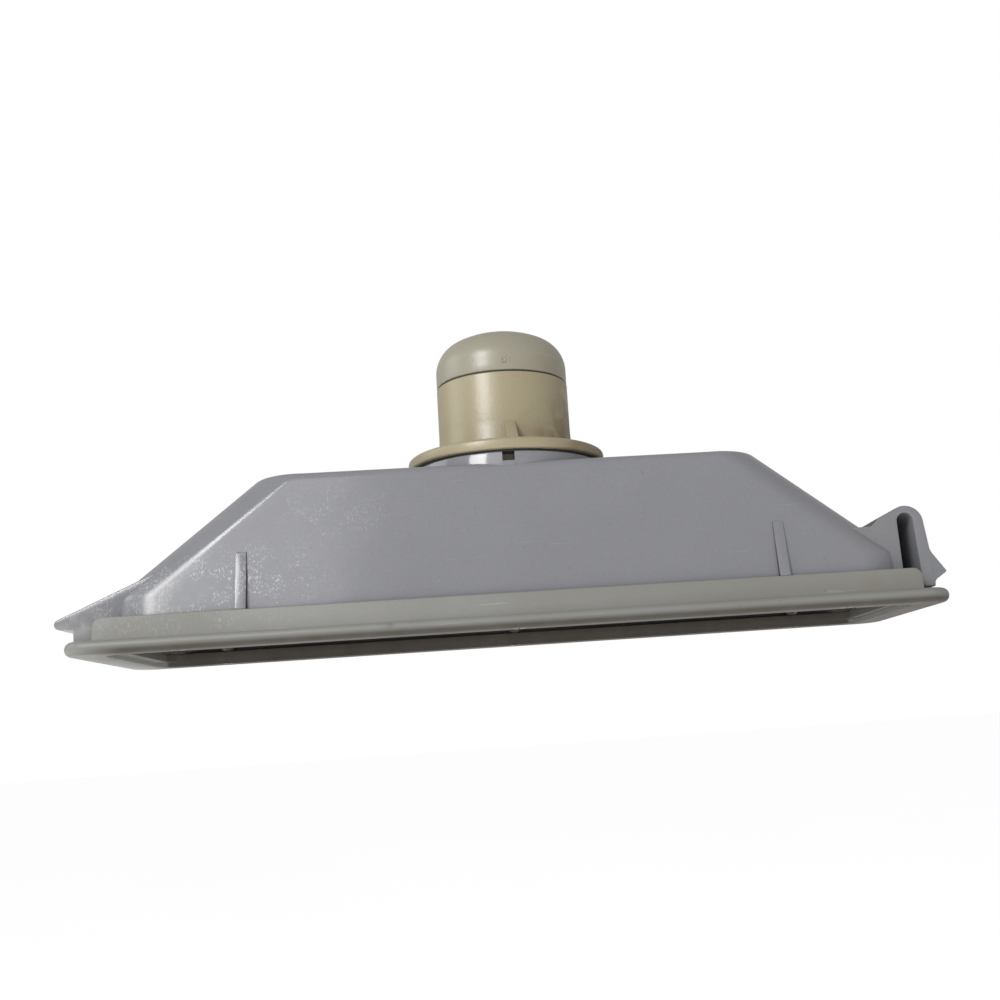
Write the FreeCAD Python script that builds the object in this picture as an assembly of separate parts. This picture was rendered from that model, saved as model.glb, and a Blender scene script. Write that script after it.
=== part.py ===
import FreeCAD, Part
import math
import os

# Snap-in roof vent: a tapered hopper drops through a 240 x 72 mm cut-out in a ceiling panel,
# a rigid hook holds one end and a sprung clip the other. On top a bayonet sleeve carries a
# domed lid that a knob inside the hopper screws up and down.
# Frame: origin under the collar axis on the rim's underside, +X towards the sprung clip, +Z up.
# All sizes are in millimetres.

V = FreeCAD.Vector
UP = V(0, 0, 1)

# Rim frame
RIM_HALF_LENGTH = 122.5
RIM_HALF_WIDTH = 36.75
RIM_THICKNESS = 4.0
RIM_CORNER = 8.0
RIM_NOSE = 1.9
MOUTH_HALF_LENGTH = 110.2
MOUTH_HALF_WIDTH = 29.05
MOUTH_CORNER = 5.0
REBATE_HALF_LENGTH = 112.9
REBATE_DEPTH = 1.5
RAIL_HALF_LENGTH = 113.5
RAIL_FACE = 35.9
RAIL_TOP = 9.75
RAIL_CORNER = 2.8

# Hopper
WALL = 2.0
SKIRT_HALF_LENGTH = 112.0
SKIRT_HALF_WIDTH = 34.4
ROOF_HALF_LENGTH = 72.8
ROOF_HALF_WIDTH = 29.0
ROOF_TOP = 48.0
END_SLOPE_START = 15.5
HOPPER_CORNER = 15.0
ROOF_EDGE = 2.5
END_SLOPE = (ROOF_TOP - END_SLOPE_START) / (SKIRT_HALF_LENGTH - ROOF_HALF_LENGTH)
SIDE_SLOPE = (SKIRT_HALF_WIDTH - ROOF_HALF_WIDTH) / (ROOF_TOP - RAIL_TOP)

# Stiffening ribs on the long walls
RIB_X = 74.6
RIB_WIDTH = 3.2
RIB_TOP = 25.8

# Hook and sprung clip
SNAP_HALF_WIDTH = 30.0
HOOK_NECK = 120.2
HOOK_UNDERSIDE = 7.5
HOOK_TIP = 125.3
HOOK_TIP_RADIUS = 1.4
POCKET_COUNT = 5
POCKET_WEB = 2.2
CLIP_PIVOT = V(112.2, 0, 26.4)
SLOT_RADIUS = 2.3
ARCH_RADIUS = 5.2
ARM_FOOT = 4.75
NOSE_TIP = V(122.8, 0, 8.9)

# Collar and bayonet
COLLAR_RADIUS = 29.0
COLLAR_TOP = 51.0
COLLAR_FOOT = 42.0
COLLAR_BORE = 26.4
COLLAR_LIP_BORE = 24.2
NOTCH_WIDTH = 3.5
NOTCH_FLOOR = 48.2
BAYONET_COUNT = 3
BAYONET_TURN = 45.0
LUG_WIDTH = 3.0
LUG_RADIUS = 26.1
LUG_FOOT = 44.8
LUG_TOP = 47.8

# Sleeve
RING_RADIUS = 29.9
RING_FOOT = 51.64
RING_TOP = 55.0
RING_EDGE = 1.1
SLEEVE_RADIUS = 20.15
SLEEVE_BORE = 18.15
SLEEVE_TOP = 77.25
SLEEVE_FOOT_RADIUS = 20.4
SLEEVE_FOOT_TOP = 62.3
BARREL_RADIUS = 24.0
BARREL_BORE = 22.0
POINTER_ANGLE = -86.6
POINTER_WIDTH = 3.1
POINTER_HEIGHT = 7.6
POINTER_REACH = 8.2

# Guide legs of the lid and the keyways that hold them
GUIDE_COUNT = 3
GUIDE_WIDTH = 4.0
GUIDE_OUTER = 17.75
GUIDE_INNER = 16.0
GUIDE_FOOT = 60.0
KEY_RIB_WIDTH = 1.2
KEY_CLEARANCE = 0.3

# Hub spider and screen
SPIDER_RIM_OUTER = 21.8
SPIDER_RIM_INNER = 18.3
SPIDER_FOOT = 47.2
SPIDER_TOP = 51.2
HUB_RADIUS = 7.2
HUB_FOOT = 44.0
HUB_TOP = 48.5
HUB_BORE = 4.45
SPOKE_WIDTH = 2.6
SCREW_CIRCLE = 20.05
SCREEN_THICKNESS = 0.4
SCREEN_HOLE = 0.9
SCREEN_PITCH = 2.6

# Knob and screw drive
KNOB_RADIUS = 14.0
KNOB_FOOT = 20.0
KNOB_TOP = 43.2
KNOB_SHAFT = 4.4
KNOB_SHAFT_TOP = 50.9
KNOB_SCALLOPS = 8
SPINDLE_RADIUS = 2.5
SPINDLE_FOOT = 21.8
SPINDLE_TOP = 90.0
INSERT_RADIUS = 4.2
INSERT_FOOT = 34.0
INSERT_TOP = 42.0

# Domed lid
LID_RADIUS = 20.1
LID_FOOT = 77.75
LID_SHOULDER_START = 82.2
LID_SHOULDER = 9.8
LID_SHOULDER_SWEEP = 63.5
LID_WALL = 2.0


def cylinder(radius, z0, z1, x=0.0, y=0.0):
    """Upright cylinder between two heights."""
    return Part.makeCylinder(radius, z1 - z0, V(x, y, z0), UP)


def tube(outer, inner, z0, z1):
    """Upright ring between two heights."""
    return cylinder(outer, z0, z1).cut(cylinder(inner, z0 - 1, z1 + 1))


def block(x0, x1, y0, y1, z0, z1):
    """Box between two corners."""
    return Part.makeBox(x1 - x0, y1 - y0, z1 - z0, V(x0, y0, z0))


def turned(shape, degrees):
    """Copy of a shape turned about the collar axis."""
    copy = shape.copy()
    copy.rotate(V(0, 0, 0), UP, degrees)
    return copy


def around(shape, count, start=0.0):
    """Evenly spaced copies of a shape about the collar axis."""
    return [turned(shape, start + 360.0 * i / count) for i in range(count)]


def rounded_rectangle(half_length, half_width, radius, z):
    """Closed wire of a rectangle with rounded corners at height z."""
    edges = []
    corners = [(1, 1, 0), (-1, 1, 90), (-1, -1, 180), (1, -1, 270)]
    for sx, sy, start in corners:
        centre = V(sx * (half_length - radius), sy * (half_width - radius), z)
        circle = Part.Circle(centre, UP, radius)
        edges.append(Part.Arc(circle, math.radians(start), math.radians(start + 90)).toShape())
    sides = []
    for first, second in zip(edges, edges[1:] + edges[:1]):
        sides.append(Part.LineSegment(first.Vertexes[-1].Point, second.Vertexes[0].Point).toShape())
    ordered = [edge for pair in zip(edges, sides) for edge in pair]
    return Part.Wire(ordered)


def rounded_plate(half_length, half_width, radius, z0, z1):
    """Flat plate with rounded corners between two heights."""
    wire = rounded_rectangle(half_length, half_width, radius, z0)
    return Part.Face(wire).extrude(V(0, 0, z1 - z0))


def ruled_body(sections, radius):
    """Solid with straight walls through (half length, half width, height) sections."""
    wires = [rounded_rectangle(length, width, radius, z) for length, width, z in sections]
    return Part.makeLoft(wires, True, True)


def profile_solid(edges, half_width):
    """Solid of a closed XZ outline spread to both sides of the XZ plane."""
    face = Part.Face(Part.Wire(edges))
    face.translate(V(0, -half_width, 0))
    return face.extrude(V(0, 2 * half_width, 0))


def line(a, b):
    """Straight edge between two (x, z) points."""
    return Part.LineSegment(V(a[0], 0, a[1]), V(b[0], 0, b[1])).toShape()


def arc(a, middle, b):
    """Round edge through three (x, z) points."""
    points = [V(p[0], 0, p[1]) for p in (a, middle, b)]
    return Part.Arc(*points).toShape()


def on_circle(centre, radius, degrees):
    """The (x, z) point of a circle at an angle from +X towards +Z."""
    angle = math.radians(degrees)
    return (centre[0] + radius * math.cos(angle), centre[1] + radius * math.sin(angle))


def write(name, shape):
    """Save one node, as a single solid or as a group of separate solids."""
    if len(shape.Solids) == 1:
        shape = shape.Solids[0]
    shape.exportStep("parts/" + name + ".step")


def frame_screw_places():
    """The six (x, y) places of the screws that hold the rim frame to the hopper."""
    return [(x, y) for x in (-92.0, 0.0, 92.0) for y in (-31.6, 31.6)]


def base_frame():
    """Matte rim: a flange with a rounded nose, and an upstanding rail along each long side."""
    flange = rounded_plate(RIM_HALF_LENGTH, RIM_HALF_WIDTH, RIM_CORNER, 0, RIM_THICKNESS)
    outline = [e for e in flange.Edges if abs(e.BoundBox.ZMax - e.BoundBox.ZMin) < 0.01]
    flange = flange.makeFillet(RIM_NOSE, outline)
    body = flange
    for side in (-1, 1):
        inner = side * (SKIRT_HALF_WIDTH + 0.1)
        low, high = sorted((inner, side * RAIL_FACE))
        rail = block(-RAIL_HALF_LENGTH, RAIL_HALF_LENGTH, low, high, 1.5, RAIL_TOP)
        ends = [e for e in rail.Edges if e.BoundBox.ZMin > RAIL_TOP - 0.01 and e.BoundBox.XLength < 0.01]
        body = body.fuse(rail.makeFillet(RAIL_CORNER, ends))
    mouth = rounded_plate(MOUTH_HALF_LENGTH, MOUTH_HALF_WIDTH, MOUTH_CORNER, -1, RIM_THICKNESS + 1)
    rebate = rounded_plate(REBATE_HALF_LENGTH, MOUTH_HALF_WIDTH, MOUTH_CORNER, -1, REBATE_DEPTH)
    body = body.cut(mouth).cut(rebate)
    for x, y in frame_screw_places():
        sink = Part.makeCone(2.5, 1.3, 1.7, V(x, y, 0), UP)
        body = body.cut(cylinder(1.3, -1, RIM_THICKNESS + 1, x, y).fuse(sink))
    return body.removeSplitter()


def frame_screws():
    """Six countersunk self-tapping screws."""
    screws = []
    for x, y in frame_screw_places():
        head = Part.makeCone(2.3, 1.1, 1.6, V(x, y, 0.1), UP)
        shank = cylinder(1.1, 1.6, 11.0, x, y)
        slot_a = block(x - 1.3, x + 1.3, y - 0.25, y + 0.25, 0, 0.7)
        slot_b = block(x - 0.25, x + 0.25, y - 1.3, y + 1.3, 0, 0.7)
        screws.append(head.fuse(shank).cut(slot_a).cut(slot_b))
    return Part.makeCompound(screws)


def hopper_outside():
    """Outer volume of the hopper, its roof edge rounded."""
    width_at_kink = SKIRT_HALF_WIDTH - SIDE_SLOPE * (END_SLOPE_START - RAIL_TOP)
    sections = [
        (SKIRT_HALF_LENGTH, SKIRT_HALF_WIDTH, RIM_THICKNESS),
        (SKIRT_HALF_LENGTH, SKIRT_HALF_WIDTH, RAIL_TOP),
        (SKIRT_HALF_LENGTH, width_at_kink, END_SLOPE_START),
        (ROOF_HALF_LENGTH, ROOF_HALF_WIDTH, ROOF_TOP),
    ]
    body = ruled_body(sections, HOPPER_CORNER)
    roof_edges = [e for e in body.Edges if e.BoundBox.ZMin > ROOF_TOP - 0.01]
    return body.makeFillet(ROOF_EDGE, roof_edges)


def hopper_inside():
    """Cavity of the hopper, one wall thickness inside its outer volume."""
    end_offset = WALL / math.sin(math.atan(END_SLOPE))
    length = SKIRT_HALF_LENGTH - WALL
    width = SKIRT_HALF_WIDTH - WALL
    kink = END_SLOPE_START - (end_offset - WALL) * END_SLOPE
    ceiling = ROOF_TOP - WALL
    sections = [
        (length, width, RIM_THICKNESS - 1),
        (length, width, RAIL_TOP),
        (length, width - SIDE_SLOPE * (kink - RAIL_TOP), kink),
        (ROOF_HALF_LENGTH + WALL / END_SLOPE - end_offset, ROOF_HALF_WIDTH - WALL + 0.3, ceiling),
    ]
    return ruled_body(sections, HOPPER_CORNER - WALL)


def hook_body():
    """Rigid hook: a wedge from the end slope out over the panel, cored from below."""
    tip = (-(HOOK_TIP - HOOK_TIP_RADIUS), HOOK_UNDERSIDE + 0.2 + HOOK_TIP_RADIUS)
    low = on_circle(tip, HOOK_TIP_RADIUS, 268)
    mid = on_circle(tip, HOOK_TIP_RADIUS, 190)
    high = on_circle(tip, HOOK_TIP_RADIUS, 114)
    neck = -HOOK_NECK
    edges = [
        line((-100, RIM_THICKNESS), (neck, RIM_THICKNESS)),
        line((neck, RIM_THICKNESS), (neck, HOOK_UNDERSIDE)),
        line((neck, HOOK_UNDERSIDE), low),
        arc(low, mid, high),
        line(high, (-96.0, 22.8)),
        line((-96.0, 22.8), (-90.0, 22.8)),
        line((-90.0, 22.8), (-90.0, 12.0)),
        line((-90.0, 12.0), (-100, RIM_THICKNESS)),
    ]
    wedge = profile_solid(edges, SNAP_HALF_WIDTH)
    pitch = 2 * SNAP_HALF_WIDTH / POCKET_COUNT
    for i in range(POCKET_COUNT):
        y0 = -SNAP_HALF_WIDTH + i * pitch + POCKET_WEB / 2
        y1 = y0 + pitch - POCKET_WEB
        pocket = block(neck + POCKET_WEB, -SKIRT_HALF_LENGTH - 0.6, y0 + 0.6, y1 - 0.6, 0, 10.4)
        wedge = wedge.cut(pocket)
    return wedge


def wall_rib(x, side):
    """Thin wedge on a long wall that stands on the rail and dies out upwards."""
    rail = side * (RAIL_FACE - 0.1)
    top = side * (SKIRT_HALF_WIDTH - SIDE_SLOPE * (RIB_TOP - RAIL_TOP))
    inner = side * (SKIRT_HALF_WIDTH - 4.0)
    points = [(rail, RAIL_TOP), (top, RIB_TOP), (inner, RIB_TOP), (inner, RAIL_TOP), (rail, RAIL_TOP)]
    wire = Part.makePolygon([V(x - RIB_WIDTH / 2, y, z) for y, z in points])
    return Part.Face(wire).extrude(V(RIB_WIDTH, 0, 0))


def housing():
    """Hopper with its collar, hook, wall ribs and screw bosses, moulded in one piece."""
    body = hopper_outside()
    body = body.fuse(hook_body())
    ribs = [wall_rib(x, side) for x in (-RIB_X, RIB_X) for side in (-1, 1)]
    body = body.fuse(ribs)
    body = body.cut(hopper_inside())
    bosses = [cylinder(2.6, RIM_THICKNESS, 13.0, x, y) for x, y in frame_screw_places()]
    bosses.append(cylinder(COLLAR_RADIUS, COLLAR_FOOT, COLLAR_TOP))
    body = body.fuse(bosses)
    body = body.cut(cylinder(COLLAR_BORE, COLLAR_FOOT - 1, ROOF_TOP))
    body = body.cut(cylinder(COLLAR_LIP_BORE, ROOF_TOP - 1, COLLAR_TOP + 1))
    notch = block(COLLAR_LIP_BORE - 1, COLLAR_RADIUS + 1, -NOTCH_WIDTH / 2, NOTCH_WIDTH / 2,
                  NOTCH_FLOOR, COLLAR_TOP + 1)
    entry = block(COLLAR_LIP_BORE - 1, COLLAR_BORE, -NOTCH_WIDTH / 2, NOTCH_WIDTH / 2,
                  ROOF_TOP - 1, COLLAR_TOP + 1)
    for shape in around(notch.fuse(entry), BAYONET_COUNT, -90.0):
        body = body.cut(shape)
    pilots = [cylinder(1.1, RIM_THICKNESS - 1, 11.2, x, y) for x, y in frame_screw_places()]
    body = body.cut(Part.makeCompound(pilots))
    return body.removeSplitter()


def clip_outline_points():
    """Shared points of the clip's arch: its crown and the ends of its round stretches."""
    slot_centre = (CLIP_PIVOT.x, CLIP_PIVOT.z - SLOT_RADIUS)
    arch_centre = (CLIP_PIVOT.x + 0.2, CLIP_PIVOT.z - 3.1)
    crown_x = CLIP_PIVOT.x
    rise = math.sqrt(ARCH_RADIUS ** 2 - (crown_x - arch_centre[0]) ** 2)
    crown = (crown_x, arch_centre[1] + rise)
    return slot_centre, arch_centre, crown


def clip_base():
    """Fixed root of the clip: a web on the end slope and the near half of the arch."""
    slot, arch, crown = clip_outline_points()
    slot_left = (slot[0] - SLOT_RADIUS, slot[1])
    shoulder = on_circle(arch, ARCH_RADIUS, 122)
    edges = [
        line((100, RIM_THICKNESS), (slot_left[0] + 0.5, RIM_THICKNESS)),
        line((slot_left[0] + 0.5, RIM_THICKNESS), slot_left),
        arc(slot_left, on_circle(slot, SLOT_RADIUS, 135), (slot[0], slot[1] + SLOT_RADIUS)),
        line((slot[0], slot[1] + SLOT_RADIUS), crown),
        arc(crown, on_circle(arch, ARCH_RADIUS, 107), shoulder),
        line(shoulder, (104.0, 25.1)),
        line((104.0, 25.1), (101.8, 23.0)),
        line((101.8, 23.0), (94.0, 23.0)),
        line((94.0, 23.0), (100, RIM_THICKNESS)),
    ]
    web = profile_solid(edges, SNAP_HALF_WIDTH)
    web = web.cut(hopper_outside())
    return max(web.Solids, key=lambda s: s.Volume)


def clip_arm():
    """Sprung leg of the clip: the far half of the arch, the leg and the snap nose."""
    slot, arch, crown = clip_outline_points()
    gap = 0.02
    start = (slot[0] + gap, slot[1] + SLOT_RADIUS)
    top = (crown[0] + gap, crown[1])
    slot_right = (slot[0] + SLOT_RADIUS, slot[1])
    shoulder = on_circle(arch, ARCH_RADIUS, 4)
    neck_x = 119.2
    nose = (NOSE_TIP.x, NOSE_TIP.z)
    edges = [
        line(start, top),
        arc(top, on_circle(arch, ARCH_RADIUS, 45), shoulder),
        line(shoulder, (118.6, 15.1)),
        line((118.6, 15.1), (nose[0] - 0.5, nose[1] + 0.8)),
        arc((nose[0] - 0.5, nose[1] + 0.8), nose, (nose[0] - 0.5, nose[1] - 0.7)),
        line((nose[0] - 0.5, nose[1] - 0.7), (119.7, 6.8)),
        line((119.7, 6.8), (neck_x, 6.0)),
        line((neck_x, 6.0), (neck_x, ARM_FOOT)),
        line((neck_x, ARM_FOOT), (115.6, ARM_FOOT)),
        line((115.6, ARM_FOOT), slot_right),
        arc(slot_right, on_circle(slot, SLOT_RADIUS, 45), start),
    ]
    return profile_solid(edges, SNAP_HALF_WIDTH)


def pointer():
    """Small three-cornered rib above the ring that points at the collar's notch."""
    inner = SLEEVE_RADIUS - 0.6
    outer = SLEEVE_RADIUS + POINTER_REACH
    points = [(inner, RING_TOP - 0.2), (outer, RING_TOP - 0.2), (outer, RING_TOP + 0.4),
              (inner, RING_TOP + POINTER_HEIGHT), (inner, RING_TOP - 0.2)]
    wire = Part.makePolygon([V(r, -POINTER_WIDTH / 2, z) for r, z in points])
    return turned(Part.Face(wire).extrude(V(0, POINTER_WIDTH, 0)), POINTER_ANGLE)


def guide_angles():
    """Angles of the lid's guide legs about the collar axis."""
    return [90.0 + 360.0 * i / GUIDE_COUNT for i in range(GUIDE_COUNT)]


def screw_places():
    """The (x, y) places of the screws that hold the spider to the sleeve."""
    angles = [math.radians(30.0 + 120.0 * i) for i in range(3)]
    return [(SCREW_CIRCLE * math.cos(a), SCREW_CIRCLE * math.sin(a)) for a in angles]


def sleeve_foot():
    """Slightly tapered root of the tube, as high as the pointer."""
    height = SLEEVE_FOOT_TOP - RING_TOP
    taper = Part.makeCone(SLEEVE_FOOT_RADIUS, SLEEVE_RADIUS, height, V(0, 0, RING_TOP), UP)
    return taper.cut(cylinder(SLEEVE_BORE, RING_TOP - 1, SLEEVE_FOOT_TOP + 1))


def spigot_sleeve():
    """Twist-lock sleeve: ring flange, upper tube, lower barrel, lugs, pointer and keyways."""
    ring = tube(RING_RADIUS, SLEEVE_BORE, RING_FOOT, RING_TOP)
    rims = [e for e in ring.Edges if e.BoundBox.XMax > RING_RADIUS - 0.01 and e.BoundBox.ZLength < 0.01]
    body = ring.makeFillet(RING_EDGE, rims)
    body = body.fuse(tube(SLEEVE_RADIUS, SLEEVE_BORE, RING_FOOT, SLEEVE_TOP))
    body = body.fuse(sleeve_foot())
    body = body.fuse(tube(BARREL_RADIUS, BARREL_BORE, COLLAR_FOOT, RING_FOOT + 0.5))
    lug = block(BARREL_BORE + 1, LUG_RADIUS, -LUG_WIDTH / 2, LUG_WIDTH / 2, LUG_FOOT, LUG_TOP)
    body = body.fuse(around(lug, BAYONET_COUNT, -90.0 + BAYONET_TURN))
    body = body.fuse(pointer())
    offset = GUIDE_WIDTH / 2 + KEY_CLEARANCE
    for angle in guide_angles():
        for y0 in (offset, -offset - KEY_RIB_WIDTH):
            rib = block(GUIDE_INNER + 0.6, SLEEVE_BORE + 0.4, y0, y0 + KEY_RIB_WIDTH, RING_TOP, SLEEVE_TOP - 2)
            body = body.fuse(turned(rib, angle))
    holes = [cylinder(0.9, RING_FOOT - 1, 54.3, x, y) for x, y in screw_places()]
    body = body.cut(Part.makeCompound(holes))
    return body.removeSplitter()


def collar_seal():
    """Flat rubber ring between the sleeve's ring and the collar."""
    return tube(28.5, 24.6, COLLAR_TOP + 0.02, RING_FOOT)


def hub_spider():
    """Three-spoked bearing for the knob, screwed up under the sleeve's ring."""
    body = tube(SPIDER_RIM_OUTER, SPIDER_RIM_INNER, SPIDER_FOOT, SPIDER_TOP)
    spoke = block(HUB_RADIUS - 1, SPIDER_RIM_INNER + 1, -SPOKE_WIDTH / 2, SPOKE_WIDTH / 2, 45.0, HUB_TOP)
    spoke = spoke.cut(block(SPIDER_RIM_INNER, 30, -5, 5, 40, SPIDER_FOOT))
    body = body.fuse(around(spoke, 3, 90.0))
    body = body.fuse(cylinder(HUB_RADIUS, HUB_FOOT, HUB_TOP))
    body = body.cut(cylinder(HUB_BORE, HUB_FOOT - 1, HUB_TOP + 1))
    holes = [cylinder(1.05, SPIDER_FOOT - 1, SPIDER_TOP + 1, x, y) for x, y in screw_places()]
    return body.cut(Part.makeCompound(holes)).removeSplitter()


def spider_screws():
    """Three small pan-head screws, heads under the spider's rim."""
    screws = []
    for x, y in screw_places():
        head = cylinder(1.7, SPIDER_FOOT - 1.1, SPIDER_FOOT, x, y)
        shank = cylinder(0.9, SPIDER_FOOT - 0.2, 54.0, x, y)
        slot = block(x - 1.0, x + 1.0, y - 0.2, y + 0.2, SPIDER_FOOT - 1.2, SPIDER_FOOT - 0.6)
        screws.append(head.fuse(shank).cut(slot))
    return Part.makeCompound(screws)


def insect_screen():
    """Perforated disc clamped between the spider and the sleeve's ring."""
    top = SPIDER_TOP + 0.02 + SCREEN_THICKNESS
    disc = tube(21.6, 3.2, SPIDER_TOP + 0.02, top)
    holes = [cylinder(1.05, SPIDER_TOP - 1, top + 1, x, y) for x, y in screw_places()]
    rows = range(-7, 8)
    for row in rows:
        for column in rows:
            x = (column + 0.5 * (row % 2)) * SCREEN_PITCH
            y = row * SCREEN_PITCH * math.sqrt(0.75)
            if 4.6 < math.hypot(x, y) < 16.9:
                holes.append(cylinder(SCREEN_HOLE, SPIDER_TOP - 1, top + 1, x, y))
    return disc.cut(Part.makeCompound(holes))


def control_knob():
    """Scalloped knob with a hollow shaft that turns in the spider's hub."""
    body = cylinder(KNOB_RADIUS, KNOB_FOOT, KNOB_TOP)
    rims = [e for e in body.Edges if e.BoundBox.ZLength < 0.01]
    body = body.makeFillet(1.6, rims)
    grip = cylinder(4.0, KNOB_FOOT - 1, KNOB_TOP + 1, KNOB_RADIUS + 2.2, 0)
    for cutter in around(grip, KNOB_SCALLOPS, 22.5):
        body = body.cut(cutter)
    body = body.fuse(cylinder(KNOB_SHAFT, KNOB_TOP - 1, KNOB_SHAFT_TOP))
    body = body.cut(tube(KNOB_SHAFT + 1, 3.6, 49.3, 50.1))
    body = body.cut(cylinder(2.9, INSERT_TOP - 1, KNOB_SHAFT_TOP + 1))
    body = body.cut(cylinder(INSERT_RADIUS, INSERT_FOOT - 1, INSERT_TOP))
    body = body.cut(cylinder(7.5, KNOB_FOOT - 1, INSERT_FOOT))
    return body.removeSplitter()


def knob_insert():
    """Brass threaded bush pressed into the knob."""
    body = tube(INSERT_RADIUS, SPINDLE_RADIUS + 0.04, INSERT_FOOT, INSERT_TOP)
    return body.cut(tube(INSERT_RADIUS + 1, INSERT_RADIUS - 0.5, 37.4, 38.6))


def knob_cover():
    """Snap-in disc that closes the knob from below."""
    disc = cylinder(7.5, KNOB_FOOT, KNOB_FOOT + 1.2)
    return disc.fuse(tube(7.5, 6.3, KNOB_FOOT + 1.0, KNOB_FOOT + 4.0))


def thrust_washer():
    """Slippery washer between the knob and the hub."""
    return tube(6.9, 4.6, KNOB_TOP + 0.05, HUB_FOOT - 0.05)


def wave_washer():
    """Spring washer above the hub that keeps the knob from turning by itself."""
    return tube(6.4, 4.6, HUB_TOP + 0.05, 49.25)


def knob_retaining_clip():
    """Open ring in the groove of the knob's shaft."""
    ring = tube(6.2, 3.6, 49.3, 50.1)
    return ring.cut(block(0, 8, -1.6, 1.6, 49, 51))


def spindle():
    """Screw rod fixed in the lid and driven by the knob's bush."""
    rod = cylinder(SPINDLE_RADIUS, SPINDLE_FOOT, SPINDLE_TOP)
    ends = [e for e in rod.Edges if e.BoundBox.ZLength < 0.01]
    rod = rod.makeChamfer(0.5, ends)
    rod = rod.cut(tube(SPINDLE_RADIUS + 1, 1.9, 22.8, 23.6))
    cross = Part.makeCylinder(0.75, 20, V(-10, 0, 85), V(1, 0, 0))
    return rod.cut(cross)


def spindle_pin():
    """Cross pin that stops the spindle from turning in the lid."""
    return Part.makeCylinder(0.75, 10.2, V(-5.1, 0, 85), V(1, 0, 0))


def spindle_stop_clip():
    """Open ring near the foot of the spindle that limits the lid's lift."""
    ring = tube(4.6, 1.9, 22.8, 23.6)
    return ring.cut(block(0, 6, -1.2, 1.2, 22, 24))


def dome_outline(inset):
    """Points of the dome's section: foot, shoulder start, middle, end, crown middle and apex."""
    sweep = LID_SHOULDER_SWEEP
    shoulder = LID_SHOULDER - inset
    centre = (LID_RADIUS - LID_SHOULDER, LID_SHOULDER_START)
    end = on_circle(centre, shoulder, sweep)
    crown = end[0] / math.cos(math.radians(sweep))
    crown_centre = (0.0, end[1] - crown * math.sin(math.radians(sweep)))
    return [
        (LID_RADIUS - inset, LID_FOOT),
        (LID_RADIUS - inset, LID_SHOULDER_START),
        on_circle(centre, shoulder, sweep / 2),
        end,
        on_circle(crown_centre, crown, (sweep + 90.0) / 2),
        on_circle(crown_centre, crown, 90.0),
    ]


def dome_body(inset):
    """Solid of revolution under the dome's outline."""
    foot, start, middle, end, over, apex = dome_outline(inset)
    apex = (0.0, apex[1])
    edges = [
        line((0, LID_FOOT), foot),
        line(foot, start),
        arc(start, middle, end),
        arc(end, over, apex),
        line(apex, (0, LID_FOOT)),
    ]
    return Part.Face(Part.Wire(edges)).revolve(V(0, 0, 0), UP, 360)


def dome_cap():
    """Domed lid with a central boss and three guide legs."""
    body = dome_body(0.0).cut(dome_body(LID_WALL))
    ceiling = dome_outline(LID_WALL)[-1][1]
    body = body.fuse(cylinder(5.2, 79.0, ceiling + 0.6))
    leg = block(GUIDE_INNER, GUIDE_OUTER, -GUIDE_WIDTH / 2, GUIDE_WIDTH / 2, GUIDE_FOOT, 84.0)
    root = block(GUIDE_INNER, LID_RADIUS - 1.2, -GUIDE_WIDTH / 2, GUIDE_WIDTH / 2, 79.0, 84.0)
    for angle in guide_angles():
        body = body.fuse(turned(leg.fuse(root), angle))
    body = body.cut(cylinder(SPINDLE_RADIUS, 78.0, SPINDLE_TOP))
    body = body.cut(Part.makeCylinder(0.75, 20, V(-10, 0, 85), V(1, 0, 0)))
    return body.removeSplitter()


def cap_seal():
    """Rubber ring under the lid's edge that shuts on the sleeve."""
    return tube(19.7, 18.4, SLEEVE_TOP + 0.02, LID_FOOT)


NODES = {
    "housing": housing,
    "base_frame": base_frame,
    "frame_screws": frame_screws,
    "clip_base": clip_base,
    "clip_arm": clip_arm,
    "spigot_sleeve": spigot_sleeve,
    "collar_seal": collar_seal,
    "hub_spider": hub_spider,
    "spider_screws": spider_screws,
    "insect_screen": insect_screen,
    "control_knob": control_knob,
    "knob_insert": knob_insert,
    "knob_cover": knob_cover,
    "thrust_washer": thrust_washer,
    "wave_washer": wave_washer,
    "knob_retaining_clip": knob_retaining_clip,
    "spindle": spindle,
    "spindle_pin": spindle_pin,
    "spindle_stop_clip": spindle_stop_clip,
    "dome_cap": dome_cap,
    "cap_seal": cap_seal,
}

os.makedirs("parts", exist_ok=True)
for node, make in NODES.items():
    write(node, make())
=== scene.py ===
"""Visual model of a snap-in roof vent.

A glossy grey hopper stands on a matte grey rim. A rigid hook at one end and a sprung clip at the
other hold a ceiling panel. A beige sleeve with a domed lid stands in the hopper's collar, and a
scalloped knob inside the hopper screws the lid up and down. Shapes are worked out in millimetres
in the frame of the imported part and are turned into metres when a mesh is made.
"""

from __future__ import annotations

import logging
import math
from dataclasses import dataclass
from enum import Enum
from typing import Any, Sequence, Union

import bmesh
import bpy
import numpy as np
from mathutils import Matrix, Vector


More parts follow.
